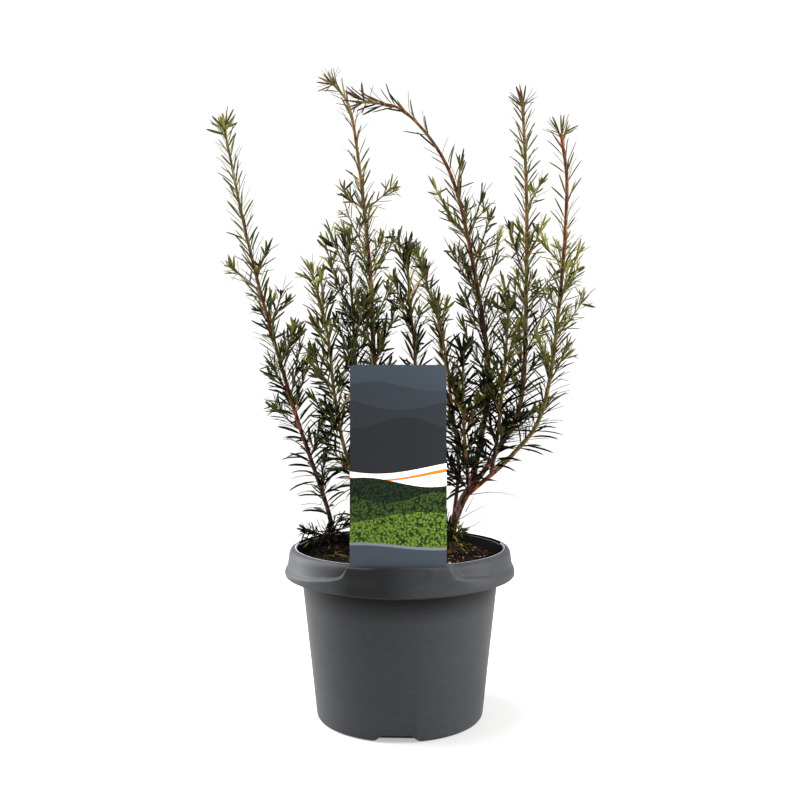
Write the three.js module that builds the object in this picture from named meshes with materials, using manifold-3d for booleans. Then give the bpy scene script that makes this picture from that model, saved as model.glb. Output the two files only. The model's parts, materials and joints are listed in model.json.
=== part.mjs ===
// A young groenland yew in its nursery pot.  Three short trunks rise from the soil and divide into
// leaders, and each leader is clothed in needles and in side shoots.
// Lengths are in millimetres and +Z is up.  The origin is the middle of the pot's flat base, +X is to
// the right, and -Y is the side that carries the label.
import * as THREE from "three";
import { mergeVertices } from "three/addons/utils/BufferGeometryUtils.js";
import Module from "manifold-3d";

const wasm = await Module();
wasm.setup();

// Driving dimensions of the pot.
const GAP = 0.3;
const POT_HEIGHT = 140;
const POT_WALL = 1.5;
const POT_FLOOR = 2.2;
const FOOT_RADIUS = 66.5;
const FOOT_EDGE = { radius: 68.3, height: 0.9 };
const WALL_LOW = { radius: 69.1, height: 3.5 };
const WALL_HIGH = { radius: 81, height: 113 };
const LIP_INNER_RADIUS = 85.4;
const SKIRT_EDGE_HEIGHT = 117.5;
const SKIRT_GROOVE = { radius: 81.8, outer: 91.2, top: 124 };
const SKIRT_PROFILE = [
  [93.4, 117.5], [94.7, 117.5], [95, 119], [94, 122], [92.7, 126], [92.1, 131], [91.6, 135],
  [90, 138.4], [87.8, 140], [86, 140], [85.4, 139.1],
];
const ROUND_SEGMENTS = 36;
const GUTTER = { inner: 86.9, outer: 89.7, floor: 132, lip: 137.6, front: 12 };
const PANEL = { topHalf: 37.5, footHalf: 47, ridge: 131, front: 95.6, inner: 88, foot: 95.8, outer: 98.8 };
const NOTCH = { topHalf: 11, footHalf: 18, height: 6, inner: 58, outer: 75, margin: 1.8, reach: 20 };
const NOTCH_AZIMUTHS = [-92, 28, 148];
const DRAIN = { radius: 4.5, circle: 46, count: 6, sides: 10 };

// Driving dimensions of the soil and of the label.
const SOIL_TOP = 131;
const SOIL_EDGE_DROP = 1.4;
const SOIL_FLAT_RADIUS = 66;
const LABEL = { middle: -1.3, width: 71.6, foot: 130, top: 289, thickness: 0.6, corner: 2.5 };
const LABEL_FRONT = -92.5;
const LABEL_LEAN = 0.052;
const LABEL_BEND_RADIUS = 220;
const LABEL_COLUMNS = 10;
const SLOT_CLEARANCE = 0.35;

// Driving dimensions of the wood and the foliage.
const FLARE_HEIGHT = 7;
const LIMB_SIDES = 8;
const LIMB_STEP = 18;
const SHOOT_RADIUS = [1, 0.6];
const SHOOT_SAG = 0.14;
const SHOOT_SPACING = 6;
const SHOOT_MARGIN = 3;
const STEM_SAMPLE = 5;
const SHOOT_SAMPLE = 6;
const SIDEWAYS = 0.55;
const RISE = { least: 0.8, spread: 0.5 };
const REACH_SHARE = { least: 0.75, spread: 0.5 };
const GOLDEN_ANGLE = THREE.MathUtils.degToRad(137.5);
const CORE_SIDES = 4;
const TWIST_PER_MM = THREE.MathUtils.degToRad(4);
const LEADER_NEEDLES = { pitch: 13, length: 22, lean: [1.0, 0.75], bare: 4, tipLean: 0.6 };
const SHOOT_NEEDLES = { pitch: 10, length: 17, lean: [0.85, 0.6], bare: 3, tipLean: 0.4 };
const NEEDLE_ROOT = 1.6;
const NEEDLE_MARGIN = 1;
const NEEDLE_SHARE = { least: 0.85, spread: 0.25 };
const LEAN_SPREAD = 0.2;
const NEEDLE_PLACE = 0.4;
const TIP_NEEDLE_SHARE = 0.75;
const TIP_REACH = 11;
const FOOT_CLEARANCE = 5;
const ROOTED_BELOW = 3;
const CLAIM_STEP = { wood: 18, leader: 20, shoot: 14 };
const CLAIM_MARGIN = 0.2;

// Every stem is a curve through a few points, from its foot to its tip, with the radius at each end.
// bare is the share of its length that carries no needles: that stretch is a bough of its own.
// shoots lists the side shoots that stand out from the crown, as the share of the stem at which each
// one springs and its reach along X, Y and Z; fill asks for more of them by a seeded rule.
const STEMS = {
  trunk_right: {
    points: [[41, 15, 131], [45, 12, 155], [52, 10, 174], [60, 8, 188]],
    radius: [3.9, 3.3], flare: 3, bare: 1,
  },
  trunk_middle: {
    points: [[-4, 12, 131], [-6, 11, 150], [-7, 9, 170]],
    radius: [4.2, 3.5], flare: 3.2, bare: 1,
  },
  left: {
    points: [[-57, 30, 131], [-62, 28, 165], [-87, 20, 243], [-110, 13, 325], [-129, 12, 400],
      [-148, 18, 490]],
    radius: [2, 1], flare: 2.6, bare: 0.07, seed: 11,
    shoots: [
      [0.15, [4, -12, 24]], [0.29, [-23, 12, 22]], [0.35, [13, 12, 41]], [0.37, [10, -16, 45]],
      [0.45, [9, 14, 28]], [0.54, [13, -14, 28]], [0.62, [-25, 10, 22]], [0.66, [11, -12, 17]],
    ],
    fill: { count: 5, from: 0.12, to: 0.62, reach: 34 },
  },
  tall: {
    points: [[-6, 10, 161], [-18, 28, 235], [-23, 42, 305], [-27, 58, 380], [-38, 79, 480], [-47, 88, 528],
      [-63, 96, 552]],
    radius: [2.5, 1.05], bare: 0.22, seed: 12,
    shoots: [
      [0.33, [19, 12, 53]], [0.35, [11, 16, 26]], [0.42, [14, -16, 28]], [0.53, [20, 14, 30]],
      [0.57, [-21, 16, 23]], [0.58, [-19, -14, 35]], [0.68, [-19, 10, 18]], [0.68, [24, -10, 17]],
    ],
    fill: { count: 4, from: 0.26, to: 0.62, reach: 36 },
  },
  back: {
    points: [[-7, 9, 170], [-28, 14, 235], [-37, 12, 290], [-40, 6, 345], [-44, 0, 388]],
    radius: [2, 0.9], bare: 0.24, seed: 13,
    shoots: [[0.68, [16, -10, 29]], [0.74, [-24, 12, 62]]],
    fill: { count: 5, from: 0.3, to: 0.92, reach: 36 },
  },
  front_left: {
    points: [[-6, 11, 152], [-40, -8, 205], [-52, -24, 262], [-57, -36, 313], [-68, -46, 360]],
    radius: [1.9, 0.9], bare: 0.2, seed: 14,
    shoots: [[0.27, [-25, 14, 29]], [0.43, [-21, -10, 28]], [0.56, [-19, 10, 37]], [0.74, [-11, -10, 21]]],
    fill: { count: 5, from: 0.24, to: 0.9, reach: 34 },
  },
  short: {
    points: [[-6, 10, 158], [8, -20, 240], [12, -36, 292], [8, -48, 335], [5, -58, 376]],
    radius: [2, 0.9], bare: 0.3, seed: 15,
    shoots: [[0.72, [-10, -12, 22]], [0.83, [11, 10, 26]], [0.93, [-8, -10, 22]]],
    fill: { count: 4, from: 0.36, to: 0.9, reach: 30 },
  },
  thin: {
    points: [[45, 12, 155], [50, 24, 205], [44, 38, 265], [36, 52, 321], [16, 72, 388]],
    radius: [1.7, 0.85], bare: 0.12, seed: 16,
    shoots: [[0.54, [-6, 12, 27]], [0.7, [-4, -12, 28]], [0.72, [6, 12, 20]]],
    fill: { count: 4, from: 0.18, to: 0.86, reach: 32 },
  },
  arching: {
    points: [[60, 8, 188], [69, 6, 235], [74, 2, 277], [64, -8, 350], [41, -34, 437], [6, -58, 480],
      [-27, -72, 486]],
    radius: [2.6, 1], bare: 0.13, split: 0.63, seed: 17,
    shoots: [
      [0.26, [-21, 12, 44]], [0.37, [-16, 14, 31]], [0.44, [17, 14, 54]], [0.46, [-23, -14, 32]],
      [0.53, [12, -14, 32]], [0.59, [-26, 14, 42]], [0.69, [2, -12, 21]],
    ],
    fill: { count: 4, from: 0.17, to: 0.6, reach: 34 },
  },
  upright: {
    points: [[58, 8, 184], [82, 20, 215], [104, 30, 258], [110, 42, 340], [112, 56, 440], [110, 70, 526]],
    radius: [2.3, 1], bare: 0.12, seed: 18,
    shoots: [
      [0.37, [17, -14, 44]], [0.45, [-18, 12, 32]], [0.49, [28, 14, 30]], [0.55, [-16, -14, 41]],
      [0.59, [-10, 14, 18]], [0.73, [14, 12, 24]],
    ],
    fill: { count: 4, from: 0.15, to: 0.62, reach: 36 },
  },
  right: {
    points: [[57, 8, 181], [93, -2, 215], [117, -8, 252], [128, -18, 330], [132, -32, 425],
      [126, -40, 470]],
    radius: [1.8, 1.05], bare: 0.18, seed: 19,
    shoots: [
      [0.38, [12, -10, 27]], [0.41, [-11, -12, 22]], [0.5, [25, 12, 31]], [0.59, [12, -12, 37]],
      [0.68, [-13, 12, 18]],
    ],
    fill: { count: 4, from: 0.22, to: 0.7, reach: 32 },
  },
  front: {
    points: [[58, 8, 184], [55, -8, 208], [52, -20, 235], [50, -30, 265], [50, -38, 300]],
    radius: [1.7, 0.9], bare: 0, seed: 20,
    shoots: [[0.44, [9, -8, 28]], [0.59, [-9, -8, 24]]],
    fill: { count: 2, from: 0.2, to: 0.9, reach: 28 },
  },
  inner: {
    points: [[76, 1, 200], [79, -8, 222], [82, -16, 255], [85, -25, 300], [86, -32, 335]],
    radius: [1.7, 0.9], bare: 0, seed: 21,
    shoots: [[0.4, [-10, -8, 28]], [0.66, [7, -8, 28]]],
    fill: { count: 2, from: 0.15, to: 0.9, reach: 28 },
  },
  foot_left: {
    points: [[-58, 30, 139], [-68, 24, 147], [-76, 16, 157]],
    radius: [1.2, 0.7], bare: 0, seed: 22,
    shoots: [[0.4, [6, -14, 8]], [0.45, [17, -16, 16]], [0.7, [-8, -12, 4]]],
  },
  foot_right: {
    points: [[43, 13, 146], [50, 4, 152], [57, -2, 163]],
    radius: [1.2, 0.7], bare: 0, seed: 23, shoots: [[0.4, [10, 2, 4]]],
  },
  foot_back: {
    points: [[-5, 11, 142], [-10, 26, 150], [-18, 38, 166]],
    radius: [1.2, 0.7], bare: 0, seed: 24, shoots: [[0.5, [10, 10, 12]]],
  },
};

// A repeatable series of numbers between 0 and 1.
function seeded(seed) {
  let state = seed;
  return () => {
    state = (state * 16807) % 2147483647;
    return state / 2147483647;
  };
}

function vector([x, y, z]) {
  return new THREE.Vector3(x, y, z);
}

// Closed triangle mesh to solid, turned inside out first if its faces point inwards.
function solidFrom(positions, triangles) {
  const at = (k) => new THREE.Vector3().fromArray(positions, 3 * k);
  let volume = 0;
  for (let i = 0; i < triangles.length; i += 3) {
    const [a, b, c] = [at(triangles[i]), at(triangles[i + 1]), at(triangles[i + 2])];
    volume += a.dot(b.cross(c));
  }
  const triVerts = Uint32Array.from(volume < 0 ? [...triangles].reverse() : triangles);
  const vertProperties = Float32Array.from(positions);
  return new wasm.Manifold(new wasm.Mesh({ numProp: 3, vertProperties, triVerts }));
}

function solidOf(geometry) {
  geometry.deleteAttribute("normal");
  geometry.deleteAttribute("uv");
  const merged = mergeVertices(geometry, 1e-4);
  const triangles = [];
  for (let i = 0; i < merged.index.count; i += 3) {
    const corner = [0, 1, 2].map((k) => merged.index.getX(i + k));
    if (new Set(corner).size === 3) triangles.push(...corner);
  }
  return solidFrom(merged.attributes.position.array, triangles);
}

// Skin over a row of closed rings with the same number of points, shut by a flat cap at each end, or
// by a point at the far end.
function loft(rings, point = null) {
  const count = rings[0].length;
  const positions = rings.flat().flatMap((corner) => corner.toArray());
  const triangles = [];
  for (let row = 0; row + 1 < rings.length; row += 1) {
    for (let i = 0; i < count; i += 1) {
      const [a, b] = [row * count + i, row * count + (i + 1) % count];
      triangles.push(a, b, b + count, a, b + count, a + count);
    }
  }
  const last = (rings.length - 1) * count;
  for (let i = 1; i + 1 < count; i += 1) {
    triangles.push(0, i + 1, i);
    if (!point) triangles.push(last, last + i, last + i + 1);
  }
  if (point) {
    positions.push(...point.toArray());
    for (let i = 0; i < count; i += 1) {
      triangles.push(last + i, last + (i + 1) % count, last + count);
    }
  }
  return solidFrom(positions, triangles);
}

// The largest of the bodies that joining and cutting leaves: loose scraps and sealed hollows go.
function largest(solid) {
  return solid.decompose().reduce((best, body) => (body.volume() > best.volume() ? body : best));
}

function turned(points) {
  const profile = points.map(([radius, height]) => new THREE.Vector2(radius, height));
  return solidOf(new THREE.LatheGeometry(profile, ROUND_SEGMENTS).rotateX(Math.PI / 2));
}

function extruded(shape, depth) {
  return new THREE.ExtrudeGeometry(shape, { depth, bevelEnabled: false });
}

// The pot's wall, and a liner that stands a chosen distance inside it.
function wallRadius(height) {
  const share = (height - WALL_LOW.height) / (WALL_HIGH.height - WALL_LOW.height);
  return THREE.MathUtils.lerp(WALL_LOW.radius, WALL_HIGH.radius, share);
}

function innerRadius(height) {
  if (height <= WALL_HIGH.height) return wallRadius(height) - POT_WALL;
  const share = (height - WALL_HIGH.height) / (POT_HEIGHT - WALL_HIGH.height);
  return THREE.MathUtils.lerp(WALL_HIGH.radius - POT_WALL, LIP_INNER_RADIUS, share);
}

// Outline of the pot from the middle of its base up to a height on the outside of the wall.
function footProfile(height) {
  return [
    [0, 0], [FOOT_RADIUS, 0], [FOOT_EDGE.radius, FOOT_EDGE.height], [WALL_LOW.radius, WALL_LOW.height],
    [wallRadius(height), height],
  ];
}

function potBody() {
  const { radius, outer, top } = SKIRT_GROOVE;
  return turned([
    ...footProfile(WALL_HIGH.height), [radius, top], [outer, top], ...SKIRT_PROFILE,
    [innerRadius(WALL_HIGH.height), WALL_HIGH.height], [innerRadius(POT_FLOOR), POT_FLOOR], [0, POT_FLOOR],
  ]);
}

// Panel on the rim that holds the label: a slice of a ring with a flattened front, which grows out of
// the skirt and narrows in a curve above the ridge of the rim.
function labelPanel() {
  const { topHalf, footHalf, ridge, front, inner, foot, outer } = PANEL;
  const ring = turned([
    [inner, SKIRT_EDGE_HEIGHT], [foot, SKIRT_EDGE_HEIGHT], [outer, ridge], [outer, POT_HEIGHT - 1.5],
    [outer - 1.5, POT_HEIGHT], [inner, POT_HEIGHT], [inner, SKIRT_EDGE_HEIGHT],
  ]);
  const right = [
    [footHalf, SKIRT_EDGE_HEIGHT - 1], [footHalf, ridge], [footHalf - 3.5, ridge + 2],
    [topHalf + 2, ridge + 5.5], [topHalf, POT_HEIGHT + 1],
  ];
  const left = right.map(([x, z]) => [-x, z]).reverse();
  const face = new THREE.Shape([...right, ...left].map(([x, z]) => new THREE.Vector2(x, z)));
  const prism = extruded(face, front).rotateX(Math.PI / 2);
  return ring.intersect(solidOf(prism));
}

// Open gutter behind the lip on the far side of the rim: two rings cut short, one for the gutter
// and one that lowers the lip in front of it.
function rimGutter() {
  const ring = (inner, floor) => turned([
    [inner, floor], [GUTTER.outer, floor], [GUTTER.outer, POT_HEIGHT + 1], [inner, POT_HEIGHT + 1],
    [inner, floor],
  ]);
  const rings = ring(GUTTER.inner, GUTTER.floor).add(ring(LIP_INNER_RADIUS - 2, GUTTER.lip));
  return rings.trimByPlane([0, 1, 0], GUTTER.front);
}

// Block that fills one notch in the pot's foot, grown by a margin on all sides.
function notchBlock(azimuth, margin) {
  const { topHalf, footHalf, height, inner, outer } = NOTCH;
  const [low, high, top] = [footHalf + margin, topHalf + margin, height + margin];
  const outline = new THREE.Shape([
    new THREE.Vector2(-low, -1), new THREE.Vector2(low, -1), new THREE.Vector2(high, top),
    new THREE.Vector2(-high, top),
  ]);
  const block = extruded(outline, outer - inner + margin).rotateX(Math.PI / 2);
  block.translate(0, margin - inner, 0).rotateZ(THREE.MathUtils.degToRad(azimuth + 90));
  return solidOf(block);
}

function pot() {
  const outside = turned([...footProfile(NOTCH.reach), [0, NOTCH.reach]]);
  let body = potBody().add(labelPanel());
  for (const azimuth of NOTCH_AZIMUTHS) {
    body = body.add(notchBlock(azimuth, NOTCH.margin).intersect(outside)).subtract(notchBlock(azimuth, 0));
  }
  for (let k = 0; k < DRAIN.count; k += 1) {
    const turn = (k * 2 * Math.PI) / DRAIN.count;
    const hole = new THREE.CylinderGeometry(DRAIN.radius, DRAIN.radius, 3 * POT_FLOOR, DRAIN.sides);
    hole.rotateX(Math.PI / 2).translate(DRAIN.circle * Math.cos(turn), DRAIN.circle * Math.sin(turn), 0);
    body = body.subtract(solidOf(hole));
  }
  return largest(body.subtract(rimGutter()).subtract(labelPlate(SLOT_CLEARANCE, POT_HEIGHT + 2)));
}

// Potting soil, a little lower along the wall.
function soil() {
  const edge = SOIL_TOP - SOIL_EDGE_DROP;
  const floor = POT_FLOOR + GAP;
  let body = turned([
    [0, floor], [innerRadius(floor) - GAP, floor], [innerRadius(WALL_HIGH.height) - GAP, WALL_HIGH.height],
    [innerRadius(edge) - GAP, edge], [SOIL_FLAT_RADIUS, SOIL_TOP], [0, SOIL_TOP],
  ]);
  for (const azimuth of NOTCH_AZIMUTHS) {
    body = body.subtract(notchBlock(azimuth, NOTCH.margin + GAP));
  }
  return body;
}

// Depth of the label's front face at a place on it: it leans back and is bowed towards the front.
function labelFront(x, z) {
  return LABEL_FRONT + LABEL_LEAN * (z - POT_HEIGHT) + (x - LABEL.middle) ** 2 / (2 * LABEL_BEND_RADIUS);
}

function labelPlate(margin, top) {
  const half = LABEL.width / 2 + margin;
  const foot = LABEL.foot - margin;
  const inset = half - LABEL.corner;
  const places = [-half, -half + 0.3 * LABEL.corner];
  for (let k = 0; k <= LABEL_COLUMNS; k += 1) {
    places.push(-inset + (2 * inset * k) / LABEL_COLUMNS);
  }
  places.push(half - 0.3 * LABEL.corner, half);
  return loft(places.map((place) => {
    const beyond = Math.max(0, Math.abs(place) - inset);
    const high = top - LABEL.corner + Math.sqrt(LABEL.corner ** 2 - beyond ** 2);
    const x = LABEL.middle + place;
    const corner = (y, z) => new THREE.Vector3(x, labelFront(x, z) + y, z);
    const back = LABEL.thickness + margin;
    return [corner(-margin, foot), corner(back, foot), corner(back, high), corner(-margin, high)];
  }));
}

// A stem's middle line, its length and its radius at a share of that length.
function stemLine(name) {
  const { points, radius, flare = 0 } = STEMS[name];
  const curve = new THREE.CatmullRomCurve3(points.map(vector), false, "catmullrom", 0.5);
  const length = curve.getLength();
  const radiusAt = (share) => {
    const even = THREE.MathUtils.lerp(radius[0], radius[1], share);
    return even + flare * Math.exp((-share * length) / FLARE_HEIGHT);
  };
  const place = (share) => curve.getPointAt(share);
  const way = (share) => curve.getTangentAt(share);
  return { length, radiusAt, place, way };
}

// Two directions square to a tangent; the reference is whichever axis the line as a whole avoids.
function squareTo(tangent, chord) {
  const upright = Math.abs(chord.y) < Math.abs(chord.z);
  const reference = upright ? new THREE.Vector3(0, 1, 0) : new THREE.Vector3(0, 0, 1);
  const across = new THREE.Vector3().crossVectors(tangent, reference).normalize();
  return [across, new THREE.Vector3().crossVectors(across, tangent)];
}

// Tapered tube along a line between two shares of its length.  It can be grown all round, and its foot
// and tip can be drawn out beyond those shares.
function tube(line, from, to, { grow = 0, foot = 0, tip = 0 } = {}) {
  const rows = Math.max(1, Math.ceil(((to - from) * line.length) / LIMB_STEP));
  const chord = line.place(1).sub(line.place(0)).normalize();
  const rings = [];
  for (let row = 0; row <= rows; row += 1) {
    const share = THREE.MathUtils.lerp(from, to, row / rows);
    const tangent = line.way(share);
    const [across, up] = squareTo(tangent, chord);
    const middle = line.place(share);
    if (row === 0) middle.addScaledVector(tangent, -foot);
    if (row === rows) middle.addScaledVector(tangent, tip);
    const radius = line.radiusAt(share) + grow;
    rings.push(Array.from({ length: LIMB_SIDES }, (_, side) => {
      const turn = (side * 2 * Math.PI) / LIMB_SIDES;
      const out = across.clone().multiplyScalar(Math.cos(turn)).addScaledVector(up, Math.sin(turn));
      return middle.clone().addScaledVector(out, radius);
    }));
  }
  return loft(rings);
}

// A side shoot leaves its stem outwards and then bends up.
function shootLine(base, reach) {
  const length = reach.length();
  const middle = base.clone().addScaledVector(reach, 0.5);
  middle.z -= SHOOT_SAG * length;
  const curve = new THREE.QuadraticBezierCurve3(base, middle, base.clone().add(reach));
  return {
    length: curve.getLength(),
    radiusAt: (share) => THREE.MathUtils.lerp(SHOOT_RADIUS[0], SHOOT_RADIUS[1], share),
    place: (share) => curve.getPoint(share),
    way: (share) => curve.getTangent(share),
  };
}

function samples(line, step) {
  const count = Math.max(2, Math.round(line.length / step));
  return Array.from({ length: count + 1 }, (_, i) => line.place(i / count));
}

function tooNear(points, others, distance) {
  return points.some((point) => others.some((other) => point.distanceTo(other) < distance));
}

// All shoots of the plant: first those that stand out, then the seeded ones, each kept only where it
// stays clear of every other stem, of the other stems' shoots, of the label and inside the pot's mouth.
function growShoots() {
  const lines = Object.fromEntries(Object.keys(STEMS).map((name) => [name, stemLine(name)]));
  const stemPoints = {};
  for (const [name, line] of Object.entries(lines)) stemPoints[name] = samples(line, STEM_SAMPLE);
  const kept = [];
  const offer = (name, share, reach) => {
    const line = shootLine(lines[name].place(share), reach);
    const points = samples(line, SHOOT_SAMPLE);
    const nearStem = Object.entries(stemPoints).some(([other, places]) => (
      other !== name && tooNear(points, places, SHOOT_SPACING)));
    const nearShoot = kept.some((shoot) => (
      shoot.stem !== name && tooNear(points, shoot.points, SHOOT_SPACING)));
    const outside = points.some((point) => !openAir(point, SHOOT_MARGIN));
    if (!nearStem && !nearShoot && !outside) kept.push({ stem: name, share, line, points });
  };
  for (const [name, stem] of Object.entries(STEMS)) {
    for (const [share, reach] of stem.shoots ?? []) offer(name, share, vector(reach));
  }
  for (const [name, stem] of Object.entries(STEMS)) {
    if (!stem.fill) continue;
    const random = seeded(stem.seed);
    for (let k = 0; k < stem.fill.count; k += 1) {
      const share = stem.fill.from + ((stem.fill.to - stem.fill.from) * (k + random())) / stem.fill.count;
      const turn = k * GOLDEN_ANGLE + stem.seed;
      const rise = RISE.least + RISE.spread * random();
      const length = stem.fill.reach * (REACH_SHARE.least + REACH_SHARE.spread * random());
      const reach = new THREE.Vector3(SIDEWAYS * Math.cos(turn), Math.sin(turn), rise).setLength(length);
      offer(name, share, reach);
    }
  }
  return { lines, shoots: kept };
}

// Whether a point is clear of the soil, the pot's rim and the label by a margin.
function openAir(point, margin) {
  const outwards = Math.hypot(point.x, point.y);
  const overSoil = point.z > SOIL_TOP + margin;
  const clearOfRim = point.z > POT_HEIGHT + margin || outwards < innerRadius(point.z) - margin;
  const besideLabel = point.z > LABEL.top + margin
    || Math.abs(point.x - LABEL.middle) > LABEL.width / 2 + margin
    || point.y > labelFront(point.x, point.z) + LABEL.thickness + margin;
  return overSoil && clearOfRim && besideLabel;
}

// Shortest distance between two straight stretches.
function stretchDistance(p, q, a, b) {
  const [d1, d2, r] = [q.clone().sub(p), b.clone().sub(a), p.clone().sub(a)];
  const [aa, ee, f] = [d1.lengthSq(), d2.lengthSq(), d2.dot(r)];
  const [c, bb] = [d1.dot(r), d1.dot(d2)];
  const spread = aa * ee - bb * bb;
  let s = spread > 1e-9 ? THREE.MathUtils.clamp((bb * f - c * ee) / spread, 0, 1) : 0;
  const t = THREE.MathUtils.clamp((bb * s + f) / ee, 0, 1);
  s = THREE.MathUtils.clamp((bb * t - c) / aa, 0, 1);
  return p.clone().addScaledVector(d1, s).distanceTo(a.clone().addScaledVector(d2, t));
}

// Everything that grows, as straight stretches with a radius, so that each needle can keep clear.
const taken = [];

function claim(owner, line, from, to, step) {
  const count = Math.max(1, Math.ceil(((to - from) * line.length) / step));
  for (let i = 0; i < count; i += 1) {
    const [low, high] = [i, i + 1].map((k) => THREE.MathUtils.lerp(from, to, k / count));
    const radius = line.radiusAt(low) + CLAIM_MARGIN;
    taken.push({ owner, a: line.place(low), b: line.place(high), radius });
  }
}

function isClear(owner, a, b, radius) {
  const middle = a.clone().lerp(b, 0.5);
  if (![a, middle, b].every((point) => openAir(point, NEEDLE_MARGIN + radius))) return false;
  return taken.every((other) => other.owner === owner
    || stretchDistance(a, b, other.a, other.b) > radius + other.radius + GAP);
}

// A twig in its needles: a slim core with corners that stand out by turns as needles, in pairs that
// cross at right angles while the core twists slowly.  It ends in a point between the last needles.
function needledTwig(owner, line, from, to, needles, random) {
  const chord = line.place(1).sub(line.place(0)).normalize();
  const start = from * line.length;
  const end = to * line.length;
  const pointed = to === 1;
  const bare = needles.bare + (from === 0 ? FOOT_CLEARANCE : 0);
  const pairs = Math.max(1, Math.round((end - start - bare) / needles.pitch));
  const step = (end - start - bare) / pairs;
  const rings = [];
  const firstTurn = 2 * Math.PI * random();
  const addRing = (at, reachOf) => {
    const share = Math.min(at / line.length, 1);
    const tangent = line.way(share);
    const [across, up] = squareTo(tangent, chord);
    const middle = line.place(share);
    rings.push(Array.from({ length: CORE_SIDES }, (_, corner) => {
      const turn = firstTurn + TWIST_PER_MM * at + (corner * 2 * Math.PI) / CORE_SIDES;
      const out = across.clone().multiplyScalar(Math.cos(turn)).addScaledVector(up, Math.sin(turn));
      const root = middle.clone().addScaledVector(out, line.radiusAt(share));
      const { length, lean } = reachOf(corner);
      if (length === 0) return root;
      const tip = middle.clone().addScaledVector(tangent, length * Math.cos(lean))
        .addScaledVector(out, length * Math.sin(lean));
      if (!isClear(owner, root, tip, NEEDLE_ROOT)) return root;
      taken.push({ owner, a: root, b: tip, radius: NEEDLE_ROOT });
      return tip;
    }));
  };
  const none = () => ({ length: 0, lean: 0 });
  addRing(start, none);
  for (let pair = 0; pair < pairs; pair += 1) {
    const at = start + bare + pair * step;
    addRing(at, none);
    const share = at / line.length;
    const last = pointed && pair + 1 === pairs;
    const lean = last ? needles.tipLean : THREE.MathUtils.lerp(needles.lean[0], needles.lean[1], share);
    const vigour = NEEDLE_SHARE.least + NEEDLE_SHARE.spread * random();
    const length = needles.length * vigour * (last ? TIP_NEEDLE_SHARE : 1);
    addRing(at + NEEDLE_PLACE * step, (corner) => ({
      length: (corner + pair) % 2 ? 0 : length,
      lean: lean + LEAN_SPREAD * (random() - 0.5),
    }));
  }
  addRing(end, none);
  const tip = line.place(to).addScaledVector(line.way(to), pointed ? TIP_REACH : 0);
  return loft(rings, pointed && isClear(owner, line.place(to), tip, 1) ? tip : null);
}

// Bare wood: each limb is cut back to stand clear of the ones it springs from, and one that rises
// from the soil has a flat foot.
function woodParts(lines) {
  const parts = {};
  const guards = [];
  for (const [name, stem] of Object.entries(STEMS)) {
    if (!stem.bare) continue;
    const line = lines[name];
    const rooted = stem.flare !== undefined;
    const kind = rooted ? "stem_" : "bough_";
    const node = name.startsWith("trunk") ? name : kind + name;
    let body = tube(line, 0, stem.bare, { foot: rooted ? ROOTED_BELOW : 0 });
    if (rooted) body = body.trimByPlane([0, 0, 1], SOIL_TOP + GAP);
    for (const guard of guards) body = body.subtract(guard);
    parts[node] = largest(body);
    guards.push(tube(line, 0, stem.bare, { grow: GAP, foot: GAP, tip: GAP }));
    claim(node, line, 0, stem.bare, CLAIM_STEP.wood);
  }
  return { parts, guards };
}

// One mass of foliage: a stretch of a leader with its shoots and needles, fused.
function foliage(node, name, from, to, lines, shoots, guards, random) {
  const line = lines[name];
  const start = from + (from > 0 ? GAP / line.length : 0);
  const solids = [needledTwig(node, line, start, to, LEADER_NEEDLES, random)];
  for (const shoot of shoots) {
    if (shoot.stem === name && shoot.share > from && shoot.share < to) {
      solids.push(needledTwig(node, shoot.line, 0, 1, SHOOT_NEEDLES, random));
    }
  }
  let mass = wasm.Manifold.union(solids);
  if (from === 0) {
    for (const guard of guards) mass = mass.subtract(guard);
  }
  return largest(mass);
}

function foliageParts(lines, shoots, guards) {
  const masses = [];
  for (const [name, stem] of Object.entries(STEMS)) {
    if (stem.bare === 1) continue;
    const cuts = stem.split ? [stem.bare, stem.split, 1] : [stem.bare, 1];
    for (let k = 0; k + 1 < cuts.length; k += 1) {
      const sprig = name.startsWith("foot") ? "sprig" : "needles";
      masses.push({ node: `${sprig}_${name}${k ? "_tip" : ""}`, name, from: cuts[k], to: cuts[k + 1] });
    }
  }
  for (const { node, name, from, to } of masses) {
    claim(node, lines[name], from, to, CLAIM_STEP.leader);
    for (const shoot of shoots) {
      if (shoot.stem !== name || shoot.share <= from || shoot.share >= to) continue;
      claim(node, shoot.line, 0, 1, CLAIM_STEP.shoot);
    }
  }
  const parts = {};
  for (const { node, name, from, to } of masses) {
    parts[node] = foliage(node, name, from, to, lines, shoots, guards, seeded(STEMS[name].seed * 101));
  }
  return parts;
}

function finish(color, roughness) {
  return new THREE.MeshStandardMaterial({ color, roughness, metalness: 0, flatShading: true });
}

const FINISHES = {
  pot: () => finish("#4b4d50", 0.45),
  soil: () => finish("#2b1f19", 0.95),
  label: () => finish("#4b525a", 0.4),
  wood: () => finish("#7a4a34", 0.85),
  needles: () => finish("#4a5a26", 0.6),
};

function meshOf(name, solid, material) {
  const { vertProperties, triVerts } = solid.getMesh();
  const geometry = new THREE.BufferGeometry();
  geometry.setAttribute("position", new THREE.BufferAttribute(vertProperties, 3));
  geometry.setIndex(new THREE.BufferAttribute(triVerts, 1));
  geometry.computeVertexNormals();
  const mesh = new THREE.Mesh(geometry, material);
  mesh.name = name;
  return mesh;
}

const yew = new THREE.Group();
yew.add(meshOf("pot", pot(), FINISHES.pot()));
yew.add(meshOf("soil", soil(), FINISHES.soil()));
yew.add(meshOf("label", labelPlate(0, LABEL.top), FINISHES.label()));

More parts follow.
